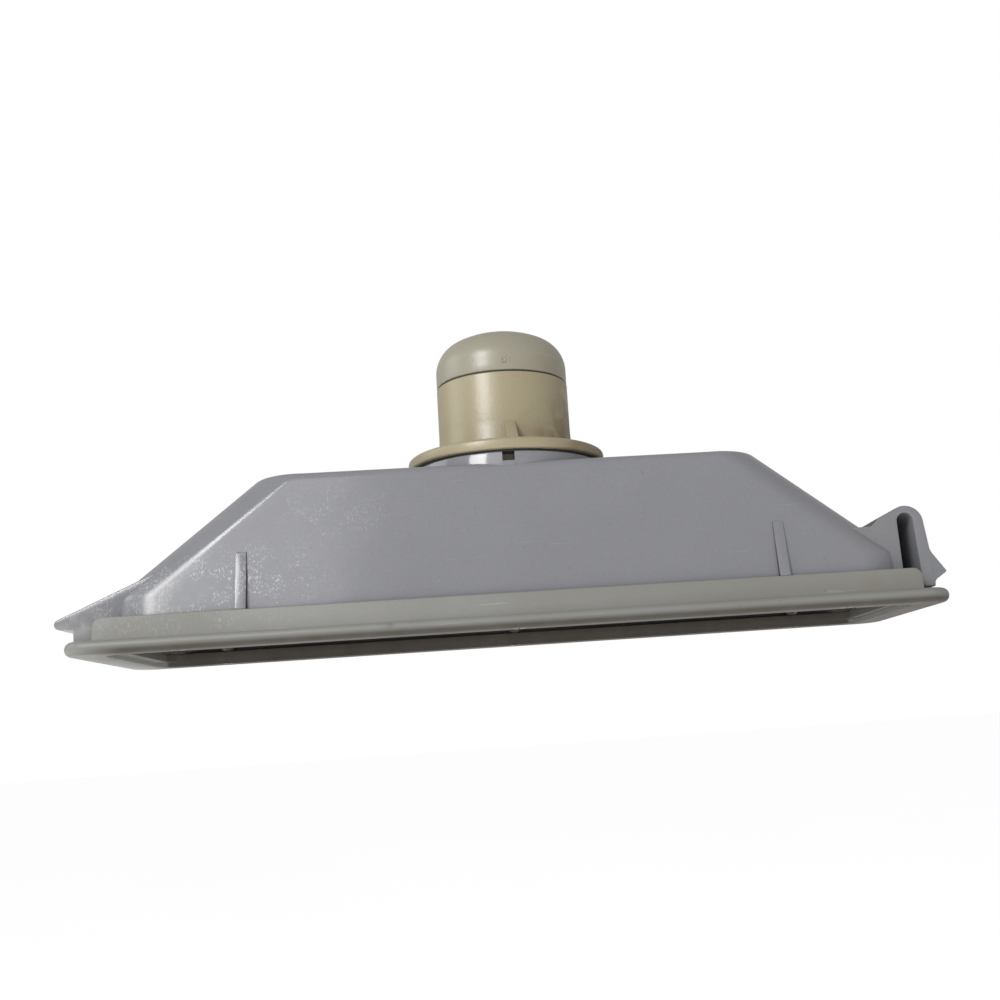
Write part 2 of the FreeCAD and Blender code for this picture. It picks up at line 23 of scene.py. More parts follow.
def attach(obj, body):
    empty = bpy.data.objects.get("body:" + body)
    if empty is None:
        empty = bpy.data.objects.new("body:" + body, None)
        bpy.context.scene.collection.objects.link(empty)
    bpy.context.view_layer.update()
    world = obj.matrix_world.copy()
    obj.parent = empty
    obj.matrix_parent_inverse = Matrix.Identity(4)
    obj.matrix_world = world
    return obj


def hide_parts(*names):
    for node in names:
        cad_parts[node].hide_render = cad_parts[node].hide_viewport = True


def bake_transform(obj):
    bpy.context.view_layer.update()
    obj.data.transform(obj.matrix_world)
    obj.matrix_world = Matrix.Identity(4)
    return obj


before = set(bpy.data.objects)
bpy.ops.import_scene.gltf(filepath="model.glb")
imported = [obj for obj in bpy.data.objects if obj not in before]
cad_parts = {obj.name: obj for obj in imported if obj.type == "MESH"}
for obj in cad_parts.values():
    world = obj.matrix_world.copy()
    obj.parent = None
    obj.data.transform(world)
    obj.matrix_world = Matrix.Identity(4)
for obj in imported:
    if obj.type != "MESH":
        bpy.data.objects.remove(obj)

Array = np.ndarray
Colour = tuple[float, float, float]
Point = tuple[float, float]
Triple = tuple[float, float, float]

MM = 0.001
SENSOR = 36.0
LOG = logging.getLogger("roof_vent")


class Body(Enum):
    """Moving bodies of the vent."""

    HOUSING = "housing"
    CLIP = "clip"
    SLEEVE = "sleeve"
    KNOB = "knob"
    LID = "lid"


class Slot(Enum):
    """Finishes: one for each material slot, and one duller steel."""

    GREY_GLOSS = "grey_gloss"
    GREY_MATTE = "grey_matte"
    BEIGE = "beige_plastic"
    CAP = "cap_plastic"
    KNOB = "knob_plastic"
    RUBBER = "black_rubber"
    NYLON = "white_nylon"
    STEEL = "zinc_steel"
    SCREEN = "screen_metal"
    BRASS = "brass_bush"
    DULL = "dull_steel"


SCREW_PLACES: tuple[Point, ...] = tuple((x, y) for x in (-92.0, 0.0, 92.0) for y in (-31.6, 31.6))
LEG_DIRECTION = 90.0
XZ_AXES: tuple[Triple, Triple, Triple] = ((1, 0, 0), (0, 0, 1), (0, 1, 0))


# ---------------------------------------------------------------------------------------------
# Outlines and sections
# ---------------------------------------------------------------------------------------------


def arc(centre: Point, radius: float, start: float, end: float, steps: int = 12) -> Array:
    """Points of a circle between two angles: centre + radius * (cos a, sin a).

    Args:
        centre: Middle of the circle.
        radius: Its radius.
        start: First angle, in degrees.
        end: Last angle, in degrees.
        steps: Number of points.

    Returns:
        Array of shape (steps, 2).
    """
    angle = np.radians(np.linspace(start, end, steps))
    return np.array(centre) + radius * np.stack([np.cos(angle), np.sin(angle)], axis=1)


def rounded(points: Sequence[Point], radii: Union[float, Sequence[float]], steps: int = 5) -> Array:
    """Closed outline whose corners are replaced by arcs.

    An arc of radius r touches both edges at r / tan(half the corner's angle) from the corner, and
    its centre lies r / sin(half the angle) away along the bisector.

    Args:
        points: The sharp corners in order.
        radii: One radius for all corners or one for each.
        steps: Points on every arc.

    Returns:
        Array of shape (corners * steps, 2).
    """
    p = np.asarray(points, float)
    before = np.roll(p, 1, axis=0) - p
    after = np.roll(p, -1, axis=0) - p
    long_a = np.linalg.norm(before, axis=1)
    long_b = np.linalg.norm(after, axis=1)
    before /= long_a[:, None]
    after /= long_b[:, None]
    half = 0.5 * np.arccos(np.clip((before * after).sum(axis=1), -1.0, 1.0))
    cut = np.broadcast_to(np.asarray(radii, float), half.shape) / np.tan(half)
    cut = np.minimum(cut, 0.46 * np.minimum(long_a, long_b))
    radius = cut * np.tan(half)
    bisector = before + after
    bisector /= np.linalg.norm(bisector, axis=1)[:, None]
    centre = p + bisector * (radius / np.sin(half))[:, None]
    first = p + before * cut[:, None] - centre
    last = p + after * cut[:, None] - centre
    turn = np.pi - 2.0 * half
    share = np.linspace(0.0, 1.0, steps)[None, :, None]
    swing = turn[:, None, None]
    blend = np.sin((1.0 - share) * swing) * first[:, None] + np.sin(share * swing) * last[:, None]
    return (centre[:, None] + blend / np.sin(swing)).reshape(-1, 2)


def corner(before: Point, point: Point, after: Point, radius: float, steps: int = 5) -> Array:
    """Arc that rounds one corner of an outline.

    Args:
        before: Neighbour on one side.
        point: The sharp corner.
        after: Neighbour on the other side.
        radius: Radius of the arc.
        steps: Points on the arc.

    Returns:
        Array of shape (steps, 2).
    """
    return rounded([before, point, after], [0.01, radius, 0.01], steps)[steps : 2 * steps]


def inset(outline: Array, distance: float) -> Array:
    """Outline moved inwards: each point goes along the sum of its two edge normals, mitred.

    Args:
        outline: Counter-clockwise closed outline, shape (n, 2).
        distance: How far the edges move.

    Returns:
        Array of the same shape.
    """
    ahead = np.roll(outline, -1, axis=0) - outline
    ahead /= np.maximum(np.linalg.norm(ahead, axis=1), 1e-9)[:, None]
    behind = np.roll(ahead, 1, axis=0)
    normal_a = np.stack([-ahead[:, 1], ahead[:, 0]], axis=1)
    normal_b = np.stack([-behind[:, 1], behind[:, 0]], axis=1)
    together = 1.0 + (normal_a * normal_b).sum(axis=1)
    return outline + distance * (normal_a + normal_b) / np.maximum(together, 0.3)[:, None]


@dataclass(frozen=True)
class Plan:
    """Columns of a rounded rectangle seen from above.

    Every column has a place on the straight core, from -1 to 1 each way, and an outward normal. A
    point of the outline is core * (half size - radius) + normal * radius.
    """

    core_x: Array
    core_y: Array
    normal_x: Array
    normal_y: Array

    @classmethod
    def make(cls, corner_steps: int = 16, long_steps: int = 40, short_steps: int = 12) -> "Plan":
        """Lay out the columns around the outline.

        Args:
            corner_steps: Columns on each corner arc.
            long_steps: Columns inside each long side.
            short_steps: Columns inside each short side.

        Returns:
            The plan, starting at the +X end of the +X, +Y corner.
        """
        parts: list[Array] = []
        signs = [(1, 1), (-1, 1), (-1, -1), (1, -1)]
        for number, (sx, sy) in enumerate(signs):
            angle = np.radians(90.0 * number + np.linspace(0.0, 90.0, corner_steps))
            ones = np.ones_like(angle)
            parts.append(np.stack([sx * ones, sy * ones, np.cos(angle), np.sin(angle)]))
            next_x, next_y = signs[(number + 1) % 4]
            steps = long_steps if number % 2 == 0 else short_steps
            share = np.linspace(0.0, 1.0, steps + 2)[1:-1]
            ones = np.ones_like(share)
            end = angle[-1]
            side = [sx + (next_x - sx) * share, sy + (next_y - sy) * share]
            parts.append(np.stack(side + [np.cos(end) * ones, np.sin(end) * ones]))
        columns = np.concatenate(parts, axis=1)
        return cls(columns[0], columns[1], columns[2], columns[3])

    def rings(self, length: Any, width: Any, radius: Any, z: Any, grow: Any = 0.0) -> Array:
        """Rows of points, one rounded rectangle each.

        Args:
            length: Half lengths: one value, one for each row, or one for each point.
            width: Half widths, in the same way.
            radius: Corner radii, in the same way.
            z: Heights, in the same way.
            grow: Outward shift along the normal, in the same way.

        Returns:
            Array of shape (rows, columns, 3).
        """
        rows = [np.atleast_1d(np.asarray(v, float))[:, None] if np.ndim(v) < 2 else v
                for v in (length, width, radius, z, grow)]
        columns = np.zeros((1, self.core_x.size))
        size, breadth, round_off, height, extra = np.broadcast_arrays(*rows, columns)[:5]
        x = self.core_x * (size - round_off) + self.normal_x * (round_off + extra)
        y = self.core_y * (breadth - round_off) + self.normal_y * (round_off + extra)
        return np.stack([x, y, height], axis=-1)


def spoke_axes(degrees: float) -> tuple[Triple, Triple, Triple]:
    """Axes of an outline in the plane of a radius: outwards, upwards, across.

    Args:
        degrees: Direction of the radius.

    Returns:
        Three unit vectors.
    """
    a = math.radians(degrees)
    return ((math.cos(a), math.sin(a), 0.0), (0.0, 0.0, 1.0), (-math.sin(a), math.cos(a), 0.0))


def thirds(start: float) -> tuple[float, float, float]:
    """Three directions, in degrees, that share a turn evenly from the first."""
    return (start, start + 120.0, start + 240.0)


def soft_ramp(value: Array, width: float) -> Array:
    """The larger of value and 0, with the kink smoothed: (value + width)^2 / (4 width) over it.

    Args:
        value: Any numbers.
        width: How far the smoothing reaches to each side of 0.

    Returns:
        Array of the same shape.
    """
    curve = (value + width) ** 2 / (4.0 * width)
    return np.where(value > width, value, np.where(value < -width, 0.0, curve))


# ---------------------------------------------------------------------------------------------
# Meshes
# ---------------------------------------------------------------------------------------------


class Surface:
    """Gathers the grids and end faces of one piece, in millimetres."""

    def __init__(self) -> None:
        """Start with no points."""
        self._points: list[Array] = []
        self._quads: list[Array] = []
        self._ends: list[list[int]] = []
        self._count = 0

    def grid(self, points: Array, round_rows: bool = False, round_columns: bool = True) -> None:
        """Add a sheet of quads over a grid of points.

        Args:
            points: Array of shape (rows, columns, 3).
            round_rows: Whether the last row joins the first.
            round_columns: Whether the last column joins the first.
        """
        rows, columns = points.shape[:2]
        index = np.arange(rows * columns).reshape(rows, columns) + self._count
        if round_rows:
            index = np.vstack([index, index[:1]])
        if round_columns:
            index = np.hstack([index, index[:, :1]])
        corners = [index[:-1, :-1], index[:-1, 1:], index[1:, 1:], index[1:, :-1]]
        self._quads.append(np.stack(corners, axis=-1).reshape(-1, 4))
        self._points.append(points.reshape(-1, 3))
        self._count += rows * columns

    def tubes(self, points: Array) -> None:
        """Add many closed tubes at once.

        Args:
            points: Array of shape (tubes, rings, points of a ring, 3).
        """
        tubes, rings, around = points.shape[:3]
        index = np.arange(tubes * rings * around).reshape(tubes, rings, around) + self._count
        index = np.concatenate([index, index[:, :, :1]], axis=2)
        corners = [index[:, :-1, :-1], index[:, :-1, 1:], index[:, 1:, 1:], index[:, 1:, :-1]]
        self._quads.append(np.stack(corners, axis=-1).reshape(-1, 4))
        self._ends += index[:, 0, :-1].tolist()
        self._ends += index[:, -1, :-1].tolist()
        self._points.append(points.reshape(-1, 3))
        self._count += tubes * rings * around

    def end(self, ring: Array) -> None:
        """Close a sheet with one face over a ring of points.

        Args:
            ring: The points in order, shape (n, 3).
        """
        self._ends.append(list(range(self._count, self._count + len(ring))))
        self._points.append(ring)
        self._count += len(ring)

    def turn(self, profile: Array, columns: int = 144, centre: Point = (0.0, 0.0),
             closed: bool = True) -> None:
        """Add a turned form: (radius * cos a, radius * sin a, height) about an upright axis.

        Args:
            profile: (radius, height) rows.
            columns: Steps round the axis.
            centre: The axis in the XY plane.
            closed: Whether the profile's last point joins its first.
        """
        angle = np.linspace(0.0, 2.0 * np.pi, columns, endpoint=False)
        x = centre[0] + profile[:, :1] * np.cos(angle)
        y = centre[1] + profile[:, :1] * np.sin(angle)
        z = np.broadcast_to(profile[:, 1:], x.shape)
        self.grid(np.stack([x, y, z], axis=-1), round_rows=closed)

    def prism(self, outline: Array, low: float, high: float, edge: float,
              axes: tuple[Triple, Triple, Triple], steps: int = 4) -> None:
        """Add a flat outline given a thickness, with its rims rounded by a quarter circle.

        At angle a of the quarter circle the outline is inset by edge * (1 - sin a) and lies
        edge * (1 - cos a) in from the end.

        Args:
            outline: Counter-clockwise outline, shape (n, 2).
            low: Start along the third axis.
            high: End along the third axis.
            edge: Radius of the rims.
            axes: Directions of the outline's two axes and of the thickness.
            steps: Rows on each rim.
        """
        angle = np.linspace(0.0, 0.5 * np.pi, steps)
        inward = edge * (1.0 - np.sin(angle))
        along = edge * (1.0 - np.cos(angle))
        flat = np.stack([inset(outline, d) for d in np.concatenate([inward, inward[::-1]])])
        place = np.concatenate([low + along, high - along[::-1]])
        u, v, w = (np.array(axis, float) for axis in axes)
        rows = flat[..., :1] * u + flat[..., 1:] * v + place[:, None, None] * w
        self.grid(rows)
        self.end(rows[0])
        self.end(rows[-1])

    def make(self, name: str, sharp: float = 33.0) -> bpy.types.Object:
        """Turn what was gathered into a mesh object in metres, faces outwards.

        Args:
            name: Name of the piece.
            sharp: Edges that bend more than this many degrees stay crisp.

        Returns:
            The new object, at the origin.
        """
        mesh = bpy.data.meshes.new(name)
        faces = np.concatenate(self._quads).tolist() + self._ends
        mesh.from_pydata((np.concatenate(self._points) * MM).tolist(), [], faces)
        tidy(mesh, sharp)
        piece = bpy.data.objects.new(name, mesh)
        bpy.context.scene.collection.objects.link(piece)
        return piece


def tidy(mesh: bpy.types.Mesh, sharp: float) -> None:
    """Merge seams and poles, point the faces outwards and mark the crisp edges.

    Args:
        mesh: The mesh.
        sharp: Angle in degrees above which an edge stays crisp.
    """
    work = bmesh.new()
    work.from_mesh(mesh)
    bmesh.ops.remove_doubles(work, verts=work.verts, dist=2e-6)
    bmesh.ops.recalc_face_normals(work, faces=work.faces)
    work.to_mesh(mesh)
    work.free()
    mesh.shade_smooth()
    mesh.set_sharp_from_angle(angle=math.radians(sharp))
    mesh.update()


def carve(piece: bpy.types.Object, cutter: bpy.types.Object, sharp: float = 33.0) -> None:
    """Cut one closed form out of another and throw the cutter away.

    Args:
        piece: The object that is cut.
        cutter: The object that is taken away.
        sharp: Angle in degrees above which an edge stays crisp.
    """
    cut = piece.modifiers.new("cut", "BOOLEAN")
    cut.operation = "DIFFERENCE"
    cut.solver = "EXACT"
    cut.object = cutter
    bpy.context.view_layer.update()
    ready = piece.evaluated_get(bpy.context.evaluated_depsgraph_get())
    mesh = bpy.data.meshes.new_from_object(ready)
    piece.modifiers.clear()
    old = piece.data
    piece.data = mesh
    mesh.name = piece.name
    bpy.data.meshes.remove(old)
    bpy.data.objects.remove(cutter)
    mesh.shade_smooth()
    mesh.set_sharp_from_angle(angle=math.radians(sharp))


# ---------------------------------------------------------------------------------------------
# Shader tools
# ---------------------------------------------------------------------------------------------


class Wire:
    """A shader value on which Python arithmetic can be written."""

    def __init__(self, bench: "Bench", socket: bpy.types.NodeSocket) -> None:
        """Hold a socket and the bench it belongs to.

        Args:
            bench: Where further nodes are added.
            socket: The output that carries the value.
        """
        self.bench = bench
        self.socket = socket

    def _with(self, operation: str, first: Any, second: Any = None) -> "Wire":
        """Add one Math node.

        Args:
            operation: Name of the Math operation.
            first: First value or wire.
            second: Second value or wire, if the operation has one.

        Returns:
            The node's result.
        """
        inputs = {0: first} if second is None else {0: first, 1: second}
        node = self.bench.add("ShaderNodeMath", {"operation": operation}, inputs)
        return Wire(self.bench, node.outputs[0])

    def __add__(self, other: Any) -> "Wire":
        """Sum."""
        return self._with("ADD", self, other)

    __radd__ = __add__

    def __mul__(self, other: Any) -> "Wire":
        """Product."""
        return self._with("MULTIPLY", self, other)

    __rmul__ = __mul__

    def __sub__(self, other: Any) -> "Wire":
        """Difference."""
        return self._with("SUBTRACT", self, other)

    def __rsub__(self, other: Any) -> "Wire":
        """Difference, from a number."""
        return self._with("SUBTRACT", other, self)

    def __neg__(self) -> "Wire":
        """Opposite."""
        return self._with("MULTIPLY", self, -1.0)

    def top(self, other: Any) -> "Wire":
        """Larger of the two."""
        return self._with("MAXIMUM", self, other)

    def size(self) -> "Wire":
        """Value without its sign."""
        return self._with("ABSOLUTE", self)

    def step(self, low: float, high: float) -> "Wire":
        """Smooth step from 0 at low to 1 at high.

        Args:
            low: Value that gives 0.
            high: Value that gives 1.

        Returns:
            The stepped value.
        """
        node = self.bench.add(
            "ShaderNodeMapRange",
            {"interpolation_type": "SMOOTHSTEP", "clamp": True},
            {0: self, 1: low, 2: high, 3: 0.0, 4: 1.0},
        )
        return Wire(self.bench, node.outputs[0])


class Bench:
    """Node tree of one material, with short ways to add to it."""

    def __init__(self, name: str) -> None:
        """Make the material with one Principled shader.

        Args:
            name: Name of the material.
        """
        self.material = bpy.data.materials.new(name)
        self.material.use_nodes = True
        self.tree = self.material.node_tree
        self.tree.nodes.clear()
        self.shader = self.add("ShaderNodeBsdfPrincipled")
        self.add("ShaderNodeOutputMaterial", {}, {"Surface": self.shader.outputs[0]})
        place = self.add("ShaderNodeTexCoord")
        self.place = place.outputs["Object"]
        self.normal = place.outputs["Normal"]

    def add(self, kind: str, settings: dict[str, Any] | None = None,
            inputs: dict[Any, Any] | None = None) -> bpy.types.Node:
        """Add one node.

        Args:
            kind: The node's type name.
            settings: Its properties, set before the sockets.
            inputs: Values, sockets or wires for its sockets, by index or name.

        Returns:
            The node.
        """
        node = self.tree.nodes.new(kind)
        for key, value in (settings or {}).items():
            setattr(node, key, value)
        for key, value in (inputs or {}).items():
            socket = node.inputs[key]
            if isinstance(value, Wire):
                self.tree.links.new(value.socket, socket)
            elif isinstance(value, bpy.types.NodeSocket):
                self.tree.links.new(value, socket)
            elif isinstance(value, tuple) and len(value) == 3 and socket.type == "RGBA":
                socket.default_value = (*value, 1.0)
            else:
                socket.default_value = value
        return node

    def stretched(self, scale: Triple, turn: Triple = (0.0, 0.0, 0.0)) -> bpy.types.NodeSocket:
        """Object coordinates turned and scaled by a Mapping node.

        Args:
            scale: Scale each way.
            turn: Rotation each way, in degrees.

        Returns:
            The mapped coordinates.
        """
        angles = tuple(math.radians(v) for v in turn)
        inputs = {"Vector": self.place, "Scale": scale, "Rotation": angles}
        return self.add("ShaderNodeMapping", {}, inputs).outputs[0]

    def noise(self, scale: float, detail: float = 3.0, stretch: Triple | None = None,
              turn: Triple = (0.0, 0.0, 0.0), shift: float = 0.0) -> Wire:
        """Noise over the object's own space, in cycles for each metre.

        Args:
            scale: Overall scale.
            detail: Octaves.
            stretch: Extra scale each way.
            turn: Rotation before the stretch, in degrees.
            shift: Distortion.

        Returns:
            Noise around 0.5.
        """
        place = self.stretched(stretch, turn) if stretch else self.place
        inputs = {"Vector": place, "Scale": scale, "Detail": detail, "Distortion": shift}
        return Wire(self, self.add("ShaderNodeTexNoise", {}, inputs).outputs[0])

    def axis(self, name: str) -> Wire:
        """One Object coordinate, X, Y or Z, in metres."""
        return Wire(self, self.add("ShaderNodeSeparateXYZ", {}, {0: self.place}).outputs[name])

    def patch(self, centre: Triple, reach: Triple) -> Wire:
        """Soft patch: 1 at the centre, falling to 0 on an ellipsoid.

        Args:
            centre: Middle of the patch, in millimetres.
            reach: Half sizes, in millimetres.

        Returns:
            The patch's mask.
        """
        middle = tuple(v * MM for v in centre)
        size = tuple(v * MM for v in reach)
        away = self.add("ShaderNodeVectorMath", {"operation": "SUBTRACT"}, {0: self.place, 1: middle})
        unit = self.add("ShaderNodeVectorMath", {"operation": "DIVIDE"}, {0: away.outputs[0], 1: size})
        far = self.add("ShaderNodeVectorMath", {"operation": "LENGTH"}, {0: unit.outputs[0]})
        return Wire(self, far.outputs["Value"]).step(1.0, 0.0)

    def inward(self, centre: Triple) -> Wire:
        """Mask of surfaces that face a point: minus normal . (place - centre), stepped.

        It places the painted shade and grime on inner walls, and fades to nothing just past the hopper's
        inner end walls, so that hook and clip get none of it.

        Args:
            centre: The point, in millimetres.

        Returns:
            1 on inner walls, 0 on outer ones.
        """
        middle = tuple(v * MM for v in centre)
        away = self.add("ShaderNodeVectorMath", {"operation": "SUBTRACT"}, {0: self.place, 1: middle})
        inputs = {0: away.outputs[0], 1: self.normal}
        both = self.add("ShaderNodeVectorMath", {"operation": "DOT_PRODUCT"}, inputs)
        reach = self.axis("X").size().step(111.0 * MM, 109.8 * MM)
        return (-Wire(self, both.outputs["Value"])).step(0.001, 0.007) * reach

    def downward(self, start: float, end: float) -> Wire:
        """Mask of surfaces that face down, for painted shade and grime: minus the normal's Z, times a
        step along X.

        Args:
            start: X at which the mask is still 0, in millimetres.
            end: X from which it is full, in millimetres.

        Returns:
            1 on undersides beyond the end, 0 elsewhere.
        """
        parts = self.add("ShaderNodeSeparateXYZ", {}, {0: self.normal})
        facing = (-Wire(self, parts.outputs["Z"])).step(-0.25, 0.62)
        return facing * self.axis("X").step(start * MM, end * MM)

    def blend(self, mask: Any, low: Any, high: Any) -> bpy.types.NodeSocket:
        """Mix two colours.

        Args:
            mask: 0 gives low, 1 gives high.
            low: Colour or socket.
            high: Colour or socket.

        Returns:
            The mixed colour.
        """
        node = self.add("ShaderNodeMix", {"data_type": "RGBA", "clamp_factor": True}, {0: mask})
        for index, value in ((6, low), (7, high)):
            if isinstance(value, tuple):
                node.inputs[index].default_value = (*value, 1.0)
            else:
                self.tree.links.new(value, node.inputs[index])
        return node.outputs[2]

    def bump(self, height: Wire, distance: float, strength: float = 1.0, under: Any = None) -> Any:
        """Bump node's normal.

        Args:
            height: Height between 0 and 1.
            distance: Depth in metres.
            strength: Share of the effect.
            under: Normal of a coarser bump below this one.

        Returns:
            The normal socket.
        """
        inputs = {"Height": height, "Distance": distance, "Strength": strength}
        if under is not None:
            inputs["Normal"] = under
        return self.add("ShaderNodeBump", {}, inputs).outputs[0]

    def finish(self, values: dict[str, Any]) -> bpy.types.Material:
        """Set the shader's sockets.

        Args:
            values: Numbers, colours, wires or sockets by socket name.

        Returns:
            The material.
        """
        for key, value in values.items():
            socket = self.shader.inputs[key]
            if isinstance(value, Wire):
                self.tree.links.new(value.socket, socket)
            elif isinstance(value, bpy.types.NodeSocket):
                self.tree.links.new(value, socket)
            elif isinstance(value, tuple):
                socket.default_value = (*value, 1.0)
            else:
                socket.default_value = value
        return self.material


# ---------------------------------------------------------------------------------------------
# Finishes
# ---------------------------------------------------------------------------------------------


@dataclass(frozen=True)
class Patch:
    """A stained or dusty place on a surface, or a painted highlight, in millimetres."""

    centre: Triple
    reach: Triple
    amount: float
    colour: Colour


@dataclass(frozen=True)
class Plastic:
    """Moulded plastic with mottling, grain, hairline scratches, dust, stains and painted light and shade.

    Grain is in cycles for each metre and the depths are in metres. The inner shade and grime colour is
    painted shade with grime on walls that face its centre, and the under colour is painted shade with
    grime on undersides, from under_start on and full at under_full. Some dust and stain patches hold
    painted highlights.
    """

    name: str
    colour: Colour
    shade: Colour
    roughness: float
    spread: float
    grain: float
    grain_depth: float
    wave_depth: float = 0.00006
    specks: float = 0.0
    speck_colour: Colour = (0.72, 0.71, 0.68)
    scratches: float = 0.0
    stains_and_sheen: tuple[Patch, ...] = ()
    dust_and_sheen: tuple[Patch, ...] = ()
    inner_shade_and_grime: Colour | None = None
    inner_shade_and_grime_centre: Triple = (0.0, 0.0, 20.0)
    under: Colour | None = None
    under_start: float = -121.0
    under_full: float = -104.0
    pebble: float = 0.0
    dark_specks: float = 0.5

    def paint(self) -> bpy.types.Material:
        """Build the material.

        Returns:
            The material.
        """
        bench = Bench(self.name)
        cloud = bench.noise(22.0, 4.0).step(0.34, 0.66)
        fine = bench.noise(self.grain, 3.0)
        broken = bench.noise(160.0, 6.0, shift=0.6)
        colour = bench.blend(cloud, self.colour, self.shade)
        dirt_and_painted_light = bench.blend(fine.step(0.3, 0.75) * 0.35, colour, tuple(v * 0.8 for v in self.colour))
        rough = self.roughness + (cloud - 0.5) * self.spread + (fine - 0.5) * (self.spread * 0.8)
        height = fine
        if self.scratches > 0.0:
            lines = bench.noise(900.0, 2.0, (0.035, 0.035, 1.0), (0.0, 9.0, 0.0)).step(0.655, 0.72)
            cross = bench.noise(760.0, 2.0, (0.05, 0.05, 1.0), (0.0, -31.0, 0.0)).step(0.68, 0.74)
            hairs = lines.top(cross) * broken.step(0.45, 0.6) * self.scratches
            dirt_and_painted_light = bench.blend(hairs, dirt_and_painted_light, self.speck_colour)
            rough = rough + hairs * 0.25
            height = height - hairs * 0.6
        if self.specks > 0.0:
            dots = bench.noise(1500.0, 2.0).step(0.7, 0.78) * broken.step(0.4, 0.62)
            dirt_and_painted_light = bench.blend(dots * self.specks, dirt_and_painted_light, self.speck_colour)
            dark = bench.noise(1050.0, 1.0).step(0.785, 0.815)
            dirt_and_painted_light = bench.blend(dark * self.dark_specks, dirt_and_painted_light, (0.05, 0.045, 0.04))
        # Dust patches; on the hopper one also paints a highlight glow beside the near left corner.
        for place in self.dust_and_sheen:
            area = bench.patch(place.centre, place.reach)
            powder = bench.noise(2300.0, 3.0, (1.0, 1.0, 0.6)).step(0.52, 0.68) * broken.step(0.38, 0.6)
            mask = area * powder * place.amount
            dirt_and_painted_light = bench.blend(mask, dirt_and_painted_light, place.colour)
            rough = rough + mask * 0.3 + area * (0.16 * place.amount)
        # Stain patches; on the hopper one light patch is a painted highlight beside the near left corner.
        for place in self.stains_and_sheen:
            area = bench.patch(place.centre, place.reach) * broken.step(0.34, 0.62)
            dirt_and_painted_light = bench.blend(area * place.amount, dirt_and_painted_light, place.colour)
            rough = rough + area * (0.2 * place.amount)
        # Painted shade with grime on walls that face the centre point.
        if self.inner_shade_and_grime is not None:
            inside = bench.inward(self.inner_shade_and_grime_centre)
            shade_and_grime_film = inside * (0.72 + 0.28 * broken)
            dirt_and_painted_light = bench.blend(shade_and_grime_film, dirt_and_painted_light, self.inner_shade_and_grime)
            rough = rough + inside * 0.25
        # Painted shade with grime on undersides, fading out at the -X end.
        if self.under is not None:
            shade_and_grime_film = bench.downward(self.under_start, self.under_full) * (0.8 + 0.2 * broken)
            dirt_and_painted_light = bench.blend(shade_and_grime_film, dirt_and_painted_light, self.under)
            rough = rough + shade_and_grime_film * 0.2
        wave = bench.bump(bench.noise(26.0, 2.0), self.wave_depth)
        if self.pebble > 0.0:
            wave = bench.bump(bench.noise(820.0, 2.0), self.pebble, 1.0, wave)
        normal = bench.bump(height, self.grain_depth, 1.0, wave)
        return bench.finish({"Base Color": dirt_and_painted_light, "Roughness": rough, "Normal": normal,
                             "IOR": 1.49})


@dataclass(frozen=True)
class Metal:
    """Bare or plated metal with brushed grain and dull spots."""

    name: str
    colour: Colour
    tarnish: Colour
    roughness: float
    brushed: Triple = (1.0, 1.0, 6.0)

    def paint(self) -> bpy.types.Material:
        """Build the material.

        Returns:
            The material.
        """
        bench = Bench(self.name)
        cloud = bench.noise(90.0, 5.0).step(0.42, 0.66)
        grain = bench.noise(900.0, 3.0, self.brushed)
        pits = bench.noise(700.0, 2.0).step(0.66, 0.74)
        colour = bench.blend(cloud * 0.6 + pits * 0.4, self.colour, self.tarnish)
        rough = self.roughness + grain * 0.14 + cloud * 0.16
        normal = bench.bump(grain - pits * 0.5, 0.00002)
        return bench.finish({"Base Color": colour, "Roughness": rough, "Metallic": 1.0,
                             "Normal": normal})


@dataclass(frozen=True)
class Rubber:
    """Matte rubber with a dusty bloom."""

    name: str
    colour: Colour
    bloom: Colour

    def paint(self) -> bpy.types.Material:
        """Build the material.

        Returns:
            The material.
        """
        bench = Bench(self.name)
        cloud = bench.noise(70.0, 5.0).step(0.4, 0.7)
        grain = bench.noise(1600.0, 3.0)
        colour = bench.blend(cloud * 0.5 + grain.step(0.6, 0.75) * 0.25, self.colour, self.bloom)
        rough = 0.62 + cloud * 0.18 + grain * 0.1
        return bench.finish({"Base Color": colour, "Roughness": rough,
                             "Normal": bench.bump(grain, 0.00002)})


@dataclass(frozen=True)
class Paper:
    """Pale seamless paper of the floor, lit a little from within so that it reads white."""

    name: str
    colour: Colour
    glow: float = 0.57

    def paint(self) -> bpy.types.Material:
        """Build the material.

        Returns:
            The material.
        """
        bench = Bench(self.name)
        cloud = bench.noise(1.3, 3.0).step(0.3, 0.7)
        colour = bench.blend(cloud, self.colour, tuple(v * 0.985 for v in self.colour))
        rough = 0.75 + 0.1 * bench.noise(40.0, 3.0)
        return bench.finish({"Base Color": colour, "Roughness": rough, "Specular IOR Level": 0.2,
                             "Emission Color": (1.0, 1.0, 1.0), "Emission Strength": self.glow})


